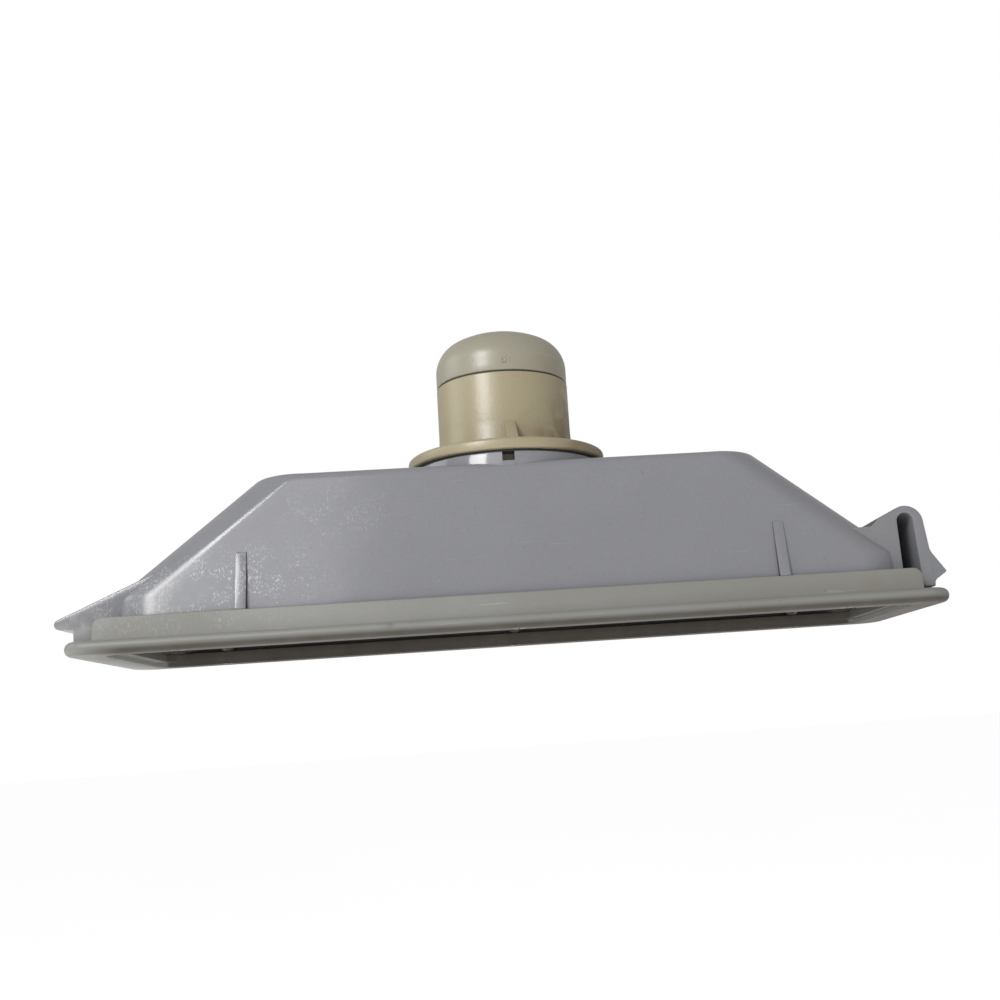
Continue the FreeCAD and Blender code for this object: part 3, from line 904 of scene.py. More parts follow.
HOPPER_GREY = Plastic(
    "grey_gloss", (0.212, 0.214, 0.231), (0.199, 0.201, 0.215),
    roughness=0.13, spread=0.05, grain=1400.0, grain_depth=0.000003, wave_depth=0.00005,
    specks=0.14, scratches=0.05, pebble=0.000008,
    stains_and_sheen=(
        Patch((103.0, -22.0, 24.0), (20.0, 30.0, 16.0), 0.16, (0.19, 0.175, 0.15)),
        Patch((-118.0, -29.0, 8.0), (14.0, 8.0, 8.0), 0.6, (0.36, 0.355, 0.34)),
        # Painted highlight: a broad light glare beside the near left corner.
        Patch((-98.0, -34.0, 13.0), (14.0, 10.0, 13.0), 0.2, (0.42, 0.42, 0.42)),
    ),
    dust_and_sheen=(
        Patch((-74.0, -33.0, 17.0), (34.0, 9.0, 16.0), 0.62, (0.60, 0.60, 0.60)),
        # Dust that also paints the highlight glow beside the near left corner.
        Patch((-94.0, -33.0, 14.0), (26.0, 14.0, 20.0), 0.5, (0.60, 0.60, 0.60)),
        Patch((-50.0, -32.0, 36.0), (30.0, 9.0, 14.0), 0.25, (0.60, 0.60, 0.60)),
        Patch((-116.0, -25.0, 12.0), (14.0, 14.0, 12.0), 0.5, (0.58, 0.57, 0.55)),
    ),
    # Painted shade with grime on the hopper's inner walls.
    inner_shade_and_grime=(0.045, 0.036, 0.027),
)

RIM_GREY = Plastic(
    "grey_matte", (0.215, 0.215, 0.200), (0.198, 0.197, 0.180),
    roughness=0.46, spread=0.10, grain=1500.0, grain_depth=0.000012,
    specks=0.2, scratches=0.14,
    stains_and_sheen=(
        Patch((101.0, -36.0, 6.5), (20.0, 4.0, 4.0), 0.4, (0.19, 0.160, 0.115)),
        Patch((-36.0, -36.2, 2.6), (3.2, 2.0, 1.3), 0.9, (0.05, 0.035, 0.025)),
        Patch((60.0, -36.6, 2.2), (1.6, 2.0, 0.9), 0.9, (0.05, 0.035, 0.025)),
        Patch((-118.0, -20.0, 0.0), (9.0, 22.0, 1.6), 0.6, (0.17, 0.125, 0.075)),
    ),
    dust_and_sheen=(Patch((-90.0, -36.0, 7.0), (45.0, 5.0, 5.0), 0.45, (0.42, 0.42, 0.41)),),
    # Painted shade with grime on inner walls and undersides.
    inner_shade_and_grime=(0.046, 0.036, 0.026), under=(0.042, 0.032, 0.022),
)

SLEEVE_BEIGE = Plastic(
    "beige_plastic", (0.325, 0.283, 0.184), (0.300, 0.257, 0.160),
    roughness=0.34, spread=0.10, grain=1500.0, grain_depth=0.000008,
    specks=0.16, speck_colour=(0.62, 0.58, 0.48), scratches=0.05, pebble=0.00004,
    stains_and_sheen=(
        Patch((17.0, -14.0, 58.0), (17.0, 20.0, 15.0), 0.85, (0.215, 0.135, 0.062)),
        Patch((27.0, -8.0, 53.0), (18.0, 28.0, 6.0), 0.8, (0.19, 0.135, 0.078)),
        Patch((20.0, -6.0, 68.0), (10.0, 17.0, 18.0), 0.7, (0.22, 0.165, 0.095)),
        Patch((-10.0, -20.0, 57.0), (16.0, 10.0, 5.0), 0.3, (0.30, 0.235, 0.14)),
    ),
    # Painted shade with grime on the sleeve's inner walls.
    inner_shade_and_grime=(0.20, 0.17, 0.12), inner_shade_and_grime_centre=(0.0, 0.0, 60.0),
)

LID_BEIGE = Plastic(
    "cap_plastic", (0.300, 0.281, 0.219), (0.278, 0.258, 0.197),
    roughness=0.30, spread=0.08, grain=1400.0, grain_depth=0.000005,
    specks=0.12, speck_colour=(0.62, 0.60, 0.54), scratches=0.06, pebble=0.00002,
    stains_and_sheen=(
        Patch((15.0, -12.0, 80.0), (14.0, 14.0, 6.0), 0.45, (0.26, 0.21, 0.135)),
        Patch((12.0, -4.0, 90.0), (16.0, 20.0, 8.0), 0.35, (0.29, 0.25, 0.17)),
    ),
    # Painted shade with grime inside the lid.
    inner_shade_and_grime=(0.20, 0.175, 0.13), inner_shade_and_grime_centre=(0.0, 0.0, 74.0),
)

KNOB_GREY = Plastic(
    "knob_plastic", (0.42, 0.41, 0.38), (0.38, 0.37, 0.335),
    roughness=0.38, spread=0.10, grain=1300.0, grain_depth=0.00001,
    specks=0.2, scratches=0.2,
    stains_and_sheen=(Patch((0.0, 0.0, 22.0), (15.0, 15.0, 3.0), 0.35, (0.20, 0.17, 0.13)),),
)

WASHER_WHITE = Plastic(
    "white_nylon", (0.72, 0.71, 0.66), (0.66, 0.645, 0.59),
    roughness=0.42, spread=0.08, grain=1200.0, grain_depth=0.000006,
)

SEAL_BLACK = Rubber("black_rubber", (0.022, 0.022, 0.022), (0.09, 0.085, 0.078))
ZINC = Metal("zinc_steel", (0.60, 0.60, 0.58), (0.33, 0.30, 0.26), 0.28)
SCREEN_METAL = Metal("screen_metal", (0.52, 0.52, 0.50), (0.26, 0.24, 0.20), 0.4)
DULL_STEEL = Metal("dull_steel", (0.21, 0.205, 0.195), (0.12, 0.10, 0.08), 0.42)
BRASS = Metal("brass_bush", (0.72, 0.53, 0.25), (0.38, 0.26, 0.12), 0.26)


class Finishes:
    """Every finish of the vent, painted once and handed out by slot."""

    def __init__(self) -> None:
        """Paint all finishes."""
        self.looks: dict[Slot, bpy.types.Material] = {
            Slot.GREY_GLOSS: HOPPER_GREY.paint(),
            Slot.GREY_MATTE: RIM_GREY.paint(),
            Slot.BEIGE: SLEEVE_BEIGE.paint(),
            Slot.CAP: LID_BEIGE.paint(),
            Slot.KNOB: KNOB_GREY.paint(),
            Slot.NYLON: WASHER_WHITE.paint(),
            Slot.RUBBER: SEAL_BLACK.paint(),
            Slot.STEEL: ZINC.paint(),
            Slot.SCREEN: SCREEN_METAL.paint(),
            Slot.DULL: DULL_STEEL.paint(),
            Slot.BRASS: BRASS.paint(),
        }

    def dress(self, piece: bpy.types.Object, slot: Slot) -> None:
        """Give a piece its one material.

        Args:
            piece: The object.
            slot: The finish.
        """
        piece.data.materials.clear()
        piece.data.materials.append(self.looks[slot])

    def dress_node(self, node: str, slot: Slot) -> None:
        """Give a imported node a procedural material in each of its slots.

        Args:
            node: Name of the node.
            slot: The finish.
        """
        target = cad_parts[node]
        if not target.material_slots:
            target.data.materials.append(self.looks[slot])
        for place in target.material_slots:
            place.material = self.looks[slot]
        LOG.info("node %s wears %s", node, slot.value)


def settle(piece: bpy.types.Object, finishes: Finishes, slot: Slot, body: Body, *nodes: str) -> None:
    """Dress a piece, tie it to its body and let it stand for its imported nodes.

    Args:
        piece: The object.
        finishes: All finishes.
        slot: The finish of this piece.
        body: The body that it moves with.
        nodes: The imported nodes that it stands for.
    """
    finishes.dress(piece, slot)
    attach(piece, body.value)
    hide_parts(*nodes)
    LOG.info("piece %s: %d faces, body %s", piece.name, len(piece.data.polygons), body.value)


# ---------------------------------------------------------------------------------------------
# Hopper, hook and clip
# ---------------------------------------------------------------------------------------------


@dataclass
class Hopper:
    """Tapered hopper with its collar, hook, wall ribs and screw bosses.

    Lengths and widths are half sizes. A kink is the height at which a wall starts to lean in, and
    its softness is how far above and below the bend is rounded.
    """

    skirt_length: float = 112.0
    skirt_width: float = 34.4
    foot: float = 4.0
    side_kink: float = 9.75
    side_softness: float = 0.4
    end_kink: float = 15.5
    end_softness: float = 0.9
    roof_length: float = 72.8
    roof_width: float = 29.0
    roof: float = 48.0
    corner: float = 15.0
    wall: float = 2.0
    roof_edge: float = 2.5
    collar: float = 29.0
    collar_top: float = 51.0
    collar_foot: float = 42.0
    bore: float = 26.4
    lip_bore: float = 24.2
    roof_hole: float = 26.6
    notch: float = 3.5
    notch_floor: float = 48.2
    hook_half: float = 30.0
    rib_x: float = 74.6
    rib_width: float = 3.2
    rib_top: float = 25.8

    def __post_init__(self) -> None:
        """Work out the slopes of the end and side walls."""
        self.end_slope = (self.roof - self.end_kink) / (self.skirt_length - self.roof_length)
        self.side_slope = (self.skirt_width - self.roof_width) / (self.roof - self.side_kink)
        self.plan = Plan.make()

    def outer_size(self, z: Array) -> tuple[Array, Array]:
        """Half length and half width of the outside at a height.

        Both stay at the skirt's size up to a kink and then shrink in a straight line.

        Args:
            z: Heights.

        Returns:
            Half lengths and half widths.
        """
        length = self.skirt_length - soft_ramp(z - self.end_kink, self.end_softness) / self.end_slope
        width = self.skirt_width - soft_ramp(z - self.side_kink, self.side_softness) * self.side_slope
        return length, width

    def inner_size(self, z: Array) -> tuple[Array, Array]:
        """Half length and half width of the cavity at a height, one wall inside the outside.

        On the leaning end wall the sideways distance is wall / sin(its angle), so the cavity's kink
        lies lower than the outside's.

        Args:
            z: Heights.

        Returns:
            Half lengths and half widths.
        """
        offset = self.wall / math.sin(math.atan(self.end_slope))
        kink = self.end_kink - (offset - self.wall) * self.end_slope
        shorter = soft_ramp(z - kink, self.end_softness) / self.end_slope
        narrower = soft_ramp(z - self.side_kink, self.side_softness) * self.side_slope
        return self.skirt_length - self.wall - shorter, self.skirt_width - self.wall - narrower

    def roof_fillet(self, steps: int = 9) -> Array:
        """Rolled edge between walls and roof.

        For a wall that leans by m sideways for each unit of height, the arc turns through
        atan2(1, m), and it starts radius * tan(half the turn) in from the sharp edge.

        Args:
            steps: Rows from the wall up to the roof.

        Returns:
            Rows of points.
        """
        plan = self.plan
        lean = np.abs(plan.normal_x) / self.end_slope + np.abs(plan.normal_y) * self.side_slope
        turn = np.arctan2(1.0, lean)
        share = np.linspace(1.0, 0.0, steps)[:, None]
        out = self.roof_edge * (np.sin(share * turn) - np.tan(turn / 2.0))
        z = self.roof - self.roof_edge * (1.0 - np.cos(share * turn))
        length, width = self.outer_size(z)
        return plan.rings(length, width, np.full_like(z, self.corner), z, out - lean * (self.roof - z))

    def hole_ring(self, rim: Array, z: float, radius: float) -> Array:
        """Circle whose points lie in the direction of each point of a rim.

        Args:
            rim: Points that the circle's points face, shape (n, 3).
            z: Height of the circle.
            radius: Its radius.

        Returns:
            Array of shape (n, 3).
        """
        angle = np.arctan2(rim[:, 1], rim[:, 0])
        flat = np.full_like(angle, z)
        return np.stack([radius * np.cos(angle), radius * np.sin(angle), flat], axis=-1)

    def shell(self, surface: Surface) -> None:
        """Add the hopper's shell: outside, rolled edge, roof, hole, ceiling and inside in one sheet.

        Args:
            surface: Where the sheet goes.
        """
        low = np.array([4.0, 4.4, 7.0, 9.0, 9.4, 9.75, 10.1, 10.5, 13.0, 14.4, 14.9, 15.5, 16.1, 16.6,
                        18.0, 22.0, 27.0, 32.0, 37.0, 41.0, 44.0, 45.2])
        length, width = self.outer_size(low)
        outside = self.plan.rings(length, width, self.corner, low)
        fillet = self.roof_fillet()
        share = np.array([0.08, 0.25, 0.5, 0.75, 1.0])[:, None, None]
        hole_top = self.hole_ring(fillet[-1], self.roof, self.roof_hole)
        roof = fillet[-1] * (1.0 - share) + hole_top * share
        ceiling = self.roof - self.wall
        high = np.array([ceiling, ceiling - 0.3, ceiling - 1.0, 41.0, 35.0, 28.0, 21.0, 15.6, 14.6,
                         13.6, 10.2, 9.75, 9.3, 6.0, 4.0])
        grow = np.zeros_like(high)
        grow[:3] = (-1.0, -0.3, 0.0)
        length, width = self.inner_size(high)
        inside = self.plan.rings(length, width, self.corner - self.wall, high, grow)
        hole_low = self.hole_ring(inside[0], ceiling, self.roof_hole)
        below = hole_low * (1.0 - share) + inside[0] * share
        surface.grid(np.concatenate([outside, fillet, roof, hole_low[None], below[:-1], inside]),
                     round_rows=True)

    def cavity(self) -> bpy.types.Object:
        """Closed form of the space inside the hopper, to cut other forms with.

        It reaches into the wall, so that no cut face lies on the hopper's inner face.

        Returns:
            The cutter.
        """
        high = np.array([2.0, 9.0, 10.5, 13.6, 14.6, 15.6, 20.0, 35.0, self.roof - self.wall])
        length, width = self.inner_size(high)
        overcut = 0.7
        rows = self.plan.rings(length, width, self.corner - self.wall, high, overcut)
        surface = Surface()
        surface.grid(rows)
        surface.end(rows[0])
        surface.end(rows[-1])
        return surface.make("cavity_cutter")

    def collar_ring(self, surface: Surface, columns: int = 30) -> None:
        """Add the collar with its three bayonet notches.

        Each third of the ring has a notch and a plain stretch. In the notch, a column is held at a
        fixed distance h from the middle, so its angle is asin(h / radius); there the height is no
        more than the notch's floor and the radius no less than the bore.

        Args:
            surface: Where the ring goes.
            columns: Steps on each plain stretch.
        """
        corners = [(self.bore, self.collar_foot), (self.collar, self.collar_foot),
                   (self.collar, self.collar_top), (self.lip_bore, self.collar_top),
                   (self.lip_bore, self.roof), (self.bore, self.roof)]
        profile = rounded(corners, [0.3, 0.3, 0.55, 0.35, 0.15, 0.1], 4)
        radius = profile[:, :1]
        height = profile[:, 1:]
        half = self.notch / 2.0
        wide = np.maximum(radius, self.bore)
        low = np.minimum(height, self.notch_floor)
        across = np.linspace(-half, half, 5)[None, :]
        cut_angle = np.arcsin(across / wide)
        edge = np.arcsin(half / radius)
        share = np.linspace(0.0, 1.0, columns)[None, :]
        plain_angle = edge + (2.0 * np.pi / 3.0 - 2.0 * edge) * share
        cut_edge = np.broadcast_to(low, cut_angle.shape)
        parts = []
        for turn in thirds(-90.0):
            first = math.radians(turn)
            for angle, r, z in ((cut_angle, wide, cut_edge), (plain_angle, radius, height)):
                spread = np.broadcast_to(r, angle.shape)
                tall = np.broadcast_to(z, angle.shape)
                x = spread * np.cos(first + angle)
                y = spread * np.sin(first + angle)
                parts.append(np.stack([x, y, tall], axis=-1))
        surface.grid(np.concatenate(parts, axis=1), round_rows=True)

    def ribs(self, surface: Surface) -> None:
        """Add the four small wedges on the long walls.

        Args:
            surface: Where they go.
        """
        for side in (-1.0, 1.0):
            points = [(35.8, self.side_kink), (32.35, self.rib_top), (31.2, self.rib_top),
                      (33.4, self.side_kink)]
            outline = rounded(points, [0.25, 0.5, 0.1, 0.1])
            axes = ((0, side, 0), (0, 0, 1), (1, 0, 0))
            for x in (-self.rib_x, self.rib_x):
                half = self.rib_width / 2.0
                surface.prism(outline, x - half, x + half, 0.35, axes)

    def bosses(self, surface: Surface) -> None:
        """Add the six screw bosses inside the long walls.

        Args:
            surface: Where they go.
        """
        profile = rounded([(0.6, 4.2), (2.3, 4.2), (2.3, 13.0), (0.6, 13.0)], [0.1, 0.1, 0.5, 0.1])
        for place in SCREW_PLACES:
            surface.turn(profile, 28, place)

    def hook(self) -> bpy.types.Object:
        """Rigid hook: a wedge with a round tip, cut back to the hopper's inner wall.

        Returns:
            The hook.
        """
        tip = arc((-123.9, 9.1), 1.4, 114.0, 268.0, 12)
        neck = (-120.2, 7.5)
        outline = np.concatenate([
            corner(neck, (-120.2, 4.0), (-100.0, 4.0), 0.7),
            [(-100.0, 4.0), (-90.0, 12.0), (-90.0, 22.8), (-96.0, 22.8)],
            tip,
            corner(tuple(tip[-1]), neck, (-120.2, 4.0), 0.5),
        ])
        surface = Surface()
        surface.prism(outline, -self.hook_half, self.hook_half, 0.4, XZ_AXES)
        piece = surface.make("hook")
        carve(piece, self.cavity())
        return piece

    def build(self, finishes: Finishes) -> None:
        """Build and dress the hopper and its hook.

        Args:
            finishes: All finishes.
        """
        surface = Surface()
        self.shell(surface)
        self.collar_ring(surface)
        self.ribs(surface)
        self.bosses(surface)
        settle(surface.make("hopper", 28.0), finishes, Slot.GREY_GLOSS, Body.HOUSING, "housing")
        settle(self.hook(), finishes, Slot.GREY_GLOSS, Body.HOUSING, "housing")


@dataclass
class SnapClip:
    """Sprung clip in one piece: web, arch and leg, which bends at the arch."""

    hopper: Hopper
    half: float = 30.0
    bend_start: Point = (110.4, 26.0)
    bend_end: Point = (114.5, 26.0)
    arch: Point = (112.4, 23.3)
    arch_radius: float = 5.2
    slot: Point = (112.2, 24.1)
    slot_radius: float = 2.3
    edge: float = 0.45

    def outline(self) -> Array:
        """Counter-clockwise outline from the foot of the web over slot, leg, nose and arch.

        Returns:
            The outline in the XZ plane.
        """
        slot_left = (self.slot[0] - self.slot_radius, self.slot[1])
        slot_right = (self.slot[0] + self.slot_radius, self.slot[1])
        inner_foot = (115.6, 4.75)
        outer_foot = (119.2, 4.75)
        notch = (119.2, 6.0)
        knee = (119.7, 6.8)
        under_nose = (122.3, 8.15)
        over_nose = (122.3, 9.75)
        waist = (118.6, 15.1)
        crown = arc(self.arch, self.arch_radius, 4.0, 122.0, 26)
        return np.concatenate([
            corner((100.0, 4.0), (110.4, 4.0), slot_left, 0.4),
            arc(self.slot, self.slot_radius, 180.0, 0.0, 18),
            corner(slot_right, inner_foot, outer_foot, 0.6),
            corner(inner_foot, outer_foot, notch, 0.5),
            corner(outer_foot, notch, knee, 0.5),
            corner(notch, knee, under_nose, 0.6),
            corner(knee, (122.95, 8.9), over_nose, 0.7, 7),
            corner(over_nose, waist, tuple(crown[0]), 4.0, 8),
            crown,
            corner(tuple(crown[-1]), (104.0, 25.1), (101.8, 23.0), 1.6),
            corner((104.0, 25.1), (101.8, 23.0), (94.0, 23.0), 1.4),
            [(94.0, 23.0), (100.0, 4.0)],
        ])

    def build(self, finishes: Finishes) -> None:
        """Build and dress the clip, and hide the imported clip nodes that it stands for.

        Args:
            finishes: All finishes.
        """
        surface = Surface()
        surface.prism(self.outline(), -self.half, self.half, self.edge, XZ_AXES)
        piece = surface.make("snap_clip")
        carve(piece, self.hopper.cavity())
        finishes.dress(piece, Slot.GREY_GLOSS)
        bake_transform(piece)
        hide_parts("clip_base", "clip_arm")
        LOG.info("piece %s: %d faces, bends", piece.name, len(piece.data.polygons))


@dataclass
class RimFrame:
    """Matte rim: a lip with a round nose and an upright rail along each long side.

    Lengths and widths are half sizes.
    """

    half_length: float = 122.5
    half_width: float = 36.75
    thickness: float = 4.0
    corner: float = 8.0
    nose: float = 1.9
    mouth_length: float = 110.2
    mouth_width: float = 29.05
    mouth_corner: float = 5.0
    rail_length: float = 113.5
    rail_top: float = 9.75

    def lip(self, surface: Surface) -> None:
        """Add the lip as one sheet round its cross-section.

        On the nose, at angle a, the outline is inset by nose * (1 - cos a) and its height is the
        middle of the arc plus nose * sin a. The mouth's rows go down its wall and over the rebate
        at its two ends, as differences from the mouth's own size.

        Args:
            surface: Where the sheet goes.
        """
        plan = Plan.make(14, 48, 16)
        angle = np.radians(np.concatenate([np.linspace(-90, 0, 8), np.linspace(0, 90, 8)]))
        back = self.nose * (1.0 - np.cos(angle))
        middle = np.where(np.arange(16) < 8, self.nose, self.thickness - self.nose)
        height = middle + self.nose * np.sin(angle)
        nose = plan.rings(self.half_length - back, self.half_width - back, self.corner - back, height)
        longer, wider, rounder, level = np.array([
            (0.4, 0.4, 0.4, 4.0), (0.1, 0.1, 0.1, 3.9), (0.0, 0.0, 0.0, 3.6), (0.0, 0.0, 0.0, 1.7),
            (0.2, 0.05, 0.0, 1.5), (2.5, 0.3, 0.0, 1.5), (2.7, 0.35, 0.0, 1.3), (2.7, 0.35, 0.0, 0.35),
            (2.8, 0.45, 0.1, 0.1), (3.05, 0.7, 0.3, 0.0),
        ]).T
        mouth = plan.rings(self.mouth_length + longer, self.mouth_width + wider,
                           self.mouth_corner + rounder, level)
        surface.grid(np.concatenate([nose, mouth]), round_rows=True)

    def rails(self, surface: Surface) -> None:
        """Add the two upright rails, their upper ends rounded.

        Args:
            surface: Where they go.
        """
        low = 1.6
        points = [(-self.rail_length, low), (self.rail_length, low),
                  (self.rail_length, self.rail_top), (-self.rail_length, self.rail_top)]
        outline = rounded(points, [0.3, 0.3, 2.8, 2.8], 8)
        for low_y, high_y in ((-35.9, -34.45), (34.45, 35.9)):
            surface.prism(outline, low_y, high_y, 0.32, XZ_AXES)

    def sinks(self) -> bpy.types.Object:
        """Six cones that cut the screw seats.

        Returns:
            The cutter.
        """
        surface = Surface()
        profile = np.array([(0.0, -1.0), (3.2, -1.0), (2.5, 0.0), (1.3, 1.7), (1.3, 5.0), (0.0, 5.0)])
        for place in SCREW_PLACES:
            surface.turn(profile, 40, place, closed=False)
        return surface.make("sink_cutter")

    def build(self, finishes: Finishes) -> None:
        """Build and dress the rim.

        Args:
            finishes: All finishes.
        """
        surface = Surface()
        self.lip(surface)
        piece = surface.make("rim_lip")
        carve(piece, self.sinks())
        settle(piece, finishes, Slot.GREY_MATTE, Body.HOUSING, "base_frame")
        surface = Surface()
        self.rails(surface)
        settle(surface.make("rim_rails"), finishes, Slot.GREY_MATTE, Body.HOUSING, "base_frame")


# ---------------------------------------------------------------------------------------------
# Sleeve
# ---------------------------------------------------------------------------------------------


@dataclass
class Sleeve:
    """Twist-lock sleeve with its seal, spider, screen and washers."""

    ring: float = 29.9
    ring_foot: float = 51.64
    ring_top: float = 55.0
    tube: float = 20.15
    tube_bore: float = 18.15
    tube_top: float = 77.25
    foot_radius: float = 20.4
    foot_top: float = 62.3
    barrel: float = 24.0
    barrel_bore: float = 22.0
    barrel_foot: float = 42.0
    screen_radius: float = 21.55
    screen_middle: float = 51.42
    screen_eye: float = 3.3
    wire_gap: float = 1.6
    wire_radius: float = 0.11
    wire_wave: float = 0.085
    pointer_direction: float = -86.6
    pointer_half: float = 1.55
    lug_half: float = 1.5

    def profile(self) -> Array:
        """Section of the sleeve: barrel, ring, tapered foot, tube and bore.

        Returns:
            (radius, height) rows.
        """
        corners = [
            (self.barrel, self.barrel_foot), (self.barrel, self.ring_foot), (self.ring, self.ring_foot),
            (self.ring, self.ring_top), (self.foot_radius, self.ring_top),
            (self.tube, self.foot_top), (self.tube, self.tube_top), (self.tube_bore, self.tube_top),
            (self.tube_bore, self.ring_foot), (self.barrel_bore, self.ring_foot),
            (self.barrel_bore, self.barrel_foot),
        ]
        radii = [0.35, 0.1, 0.7, 1.1, 0.45, 3.0, 0.35, 0.3, 0.2, 0.1, 0.35]
        return rounded(corners, radii, 6)

    def pointer(self, surface: Surface) -> None:
        """Add the small three-cornered rib that points at the collar's notch.

        Args:
            surface: Where it goes.
        """
        outline = rounded([(19.5, 54.8), (28.35, 54.8), (28.35, 55.4), (19.5, 62.6)],
                          [0.1, 0.1, 0.35, 0.1])
        axes = spoke_axes(self.pointer_direction)
        surface.prism(outline, -self.pointer_half, self.pointer_half, 0.15, axes)

    def lugs(self, surface: Surface) -> None:
        """Add the three bayonet lugs.

        Args:
            surface: Where they go.
        """
        outline = rounded([(23.0, 44.8), (26.1, 44.8), (26.1, 47.8), (23.0, 47.8)], [0.1, 0.5, 0.3, 0.1])
        for degrees in thirds(-45.0):
            surface.prism(outline, -self.lug_half, self.lug_half, 0.3, spoke_axes(degrees))

    def keyways(self, surface: Surface) -> None:
        """Add the six ribs that guide the lid's legs.

        Args:
            surface: Where they go.
        """
        outline = rounded([(16.6, 55.0), (18.5, 54.6), (18.5, 75.25), (16.6, 74.6)], 0.3)
        for degrees in thirds(LEG_DIRECTION):
            for low in (2.3, -3.5):
                surface.prism(outline, low, low + 1.2, 0.25, spoke_axes(degrees))

    def screen(self) -> bpy.types.Object:
        """Woven insect screen: two sets of wires that pass over and under each other.

        A wire at offset d runs to where the disc ends, sqrt(R * R - d * d), and one that meets the
        eye in the middle stops at the eye in the same way. Its height is a cosine with half a wave
        between two neighbouring crossing wires.

        Returns:
            The screen.
        """
        count = int(self.screen_radius / self.wire_gap)
        number = np.arange(-count, count + 1)
        offset = number * self.wire_gap
        reach = np.sqrt(np.maximum(self.screen_radius ** 2 - offset ** 2, 0.04))
        gate = np.sqrt(np.maximum(self.screen_eye ** 2 - offset ** 2, 0.0))
        whole = np.abs(offset) >= self.screen_eye
        starts = np.concatenate([-reach[whole], -reach[~whole], gate[~whole]])
        ends = np.concatenate([reach[whole], -gate[~whole], reach[~whole]])
        lanes = np.concatenate([offset[whole], offset[~whole], offset[~whole]])
        order = np.concatenate([number[whole], number[~whole], number[~whole]])
        share = np.linspace(0.0, 1.0, 90)
        along = starts[:, None] + (ends - starts)[:, None] * share
        wave = self.wire_wave * np.cos(np.pi * along / self.wire_gap + np.pi * order[:, None])
        angle = np.linspace(0.0, 2.0 * np.pi, 5, endpoint=False)
        side = self.wire_radius * np.cos(angle)
        rise = self.wire_radius * np.sin(angle)
        u = np.broadcast_to(along[..., None], along.shape + (5,))
        v = np.broadcast_to(lanes[:, None, None] + side, u.shape)
        w = self.screen_middle + rise + wave[..., None]
        w_other = self.screen_middle + rise - wave[..., None]
        surface = Surface()
        surface.tubes(np.stack([u, v, w], axis=-1))
        surface.tubes(np.stack([v, u, w_other], axis=-1))
        rim = rounded([(20.4, 51.22), (21.6, 51.22), (21.6, 51.62), (20.4, 51.62)], 0.15, 4)
        eye = rounded([(3.0, 51.22), (4.2, 51.22), (4.2, 51.62), (3.0, 51.62)], 0.15, 4)
        surface.turn(rim, 96)
        surface.turn(eye, 40)
        return surface.make("insect_screen_woven", 60.0)

    def spider(self) -> bpy.types.Object:
        """Three-spoked bearing under the ring.

        Returns:
            The spider.
        """
        surface = Surface()
        rim = [(18.3, 47.2), (21.8, 47.2), (21.8, 51.2), (18.3, 51.2)]
        hub = [(4.45, 44.0), (7.2, 44.0), (7.2, 48.5), (4.45, 48.5)]
        surface.turn(rounded(rim, 0.4))
        surface.turn(rounded(hub, 0.5), 72)
        spoke = [(6.4, 45.0), (17.9, 45.0), (19.3, 47.6), (19.3, 48.5), (6.4, 48.5)]
        for degrees in thirds(LEG_DIRECTION):
            surface.prism(rounded(spoke, 0.4), -1.3, 1.3, 0.45, spoke_axes(degrees))
        return surface.make("spider_bearing")

    def wave_ring(self) -> bpy.types.Object:
        """Waved spring washer: a flat ring whose height is a sine with three waves round.

        Returns:
            The washer.
        """
        section = rounded([(4.6, 48.76), (6.4, 48.76), (6.4, 49.04), (4.6, 49.04)], 0.08, 4)
        angle = np.linspace(0.0, 2.0 * np.pi, 96, endpoint=False)
        x = section[:, :1] * np.cos(angle)
        y = section[:, :1] * np.sin(angle)
        z = section[:, 1:] + 0.18 * np.sin(3.0 * angle)
        surface = Surface()
        surface.grid(np.stack([x, y, z], axis=-1), round_rows=True)
        return surface.make("waved_washer")

    def build(self, finishes: Finishes) -> None:
        """Build and dress the sleeve and everything that turns with it.

        Args:
            finishes: All finishes.
        """
        surface = Surface()
        surface.turn(self.profile(), 176)
        self.pointer(surface)
        self.lugs(surface)
        self.keyways(surface)
        settle(surface.make("sleeve_body"), finishes, Slot.BEIGE, Body.SLEEVE, "spigot_sleeve")
        seal = Surface()
        seal.turn(rounded([(24.6, 51.02), (28.5, 51.02), (28.5, 51.64), (24.6, 51.64)], 0.28), 144)
        settle(seal.make("ring_seal"), finishes, Slot.RUBBER, Body.SLEEVE, "collar_seal")
        settle(self.spider(), finishes, Slot.BEIGE, Body.SLEEVE, "hub_spider")
        settle(self.screen(), finishes, Slot.SCREEN, Body.SLEEVE, "insect_screen")
        settle(self.wave_ring(), finishes, Slot.STEEL, Body.SLEEVE, "wave_washer")


# ---------------------------------------------------------------------------------------------
# Lid and knob
# ---------------------------------------------------------------------------------------------


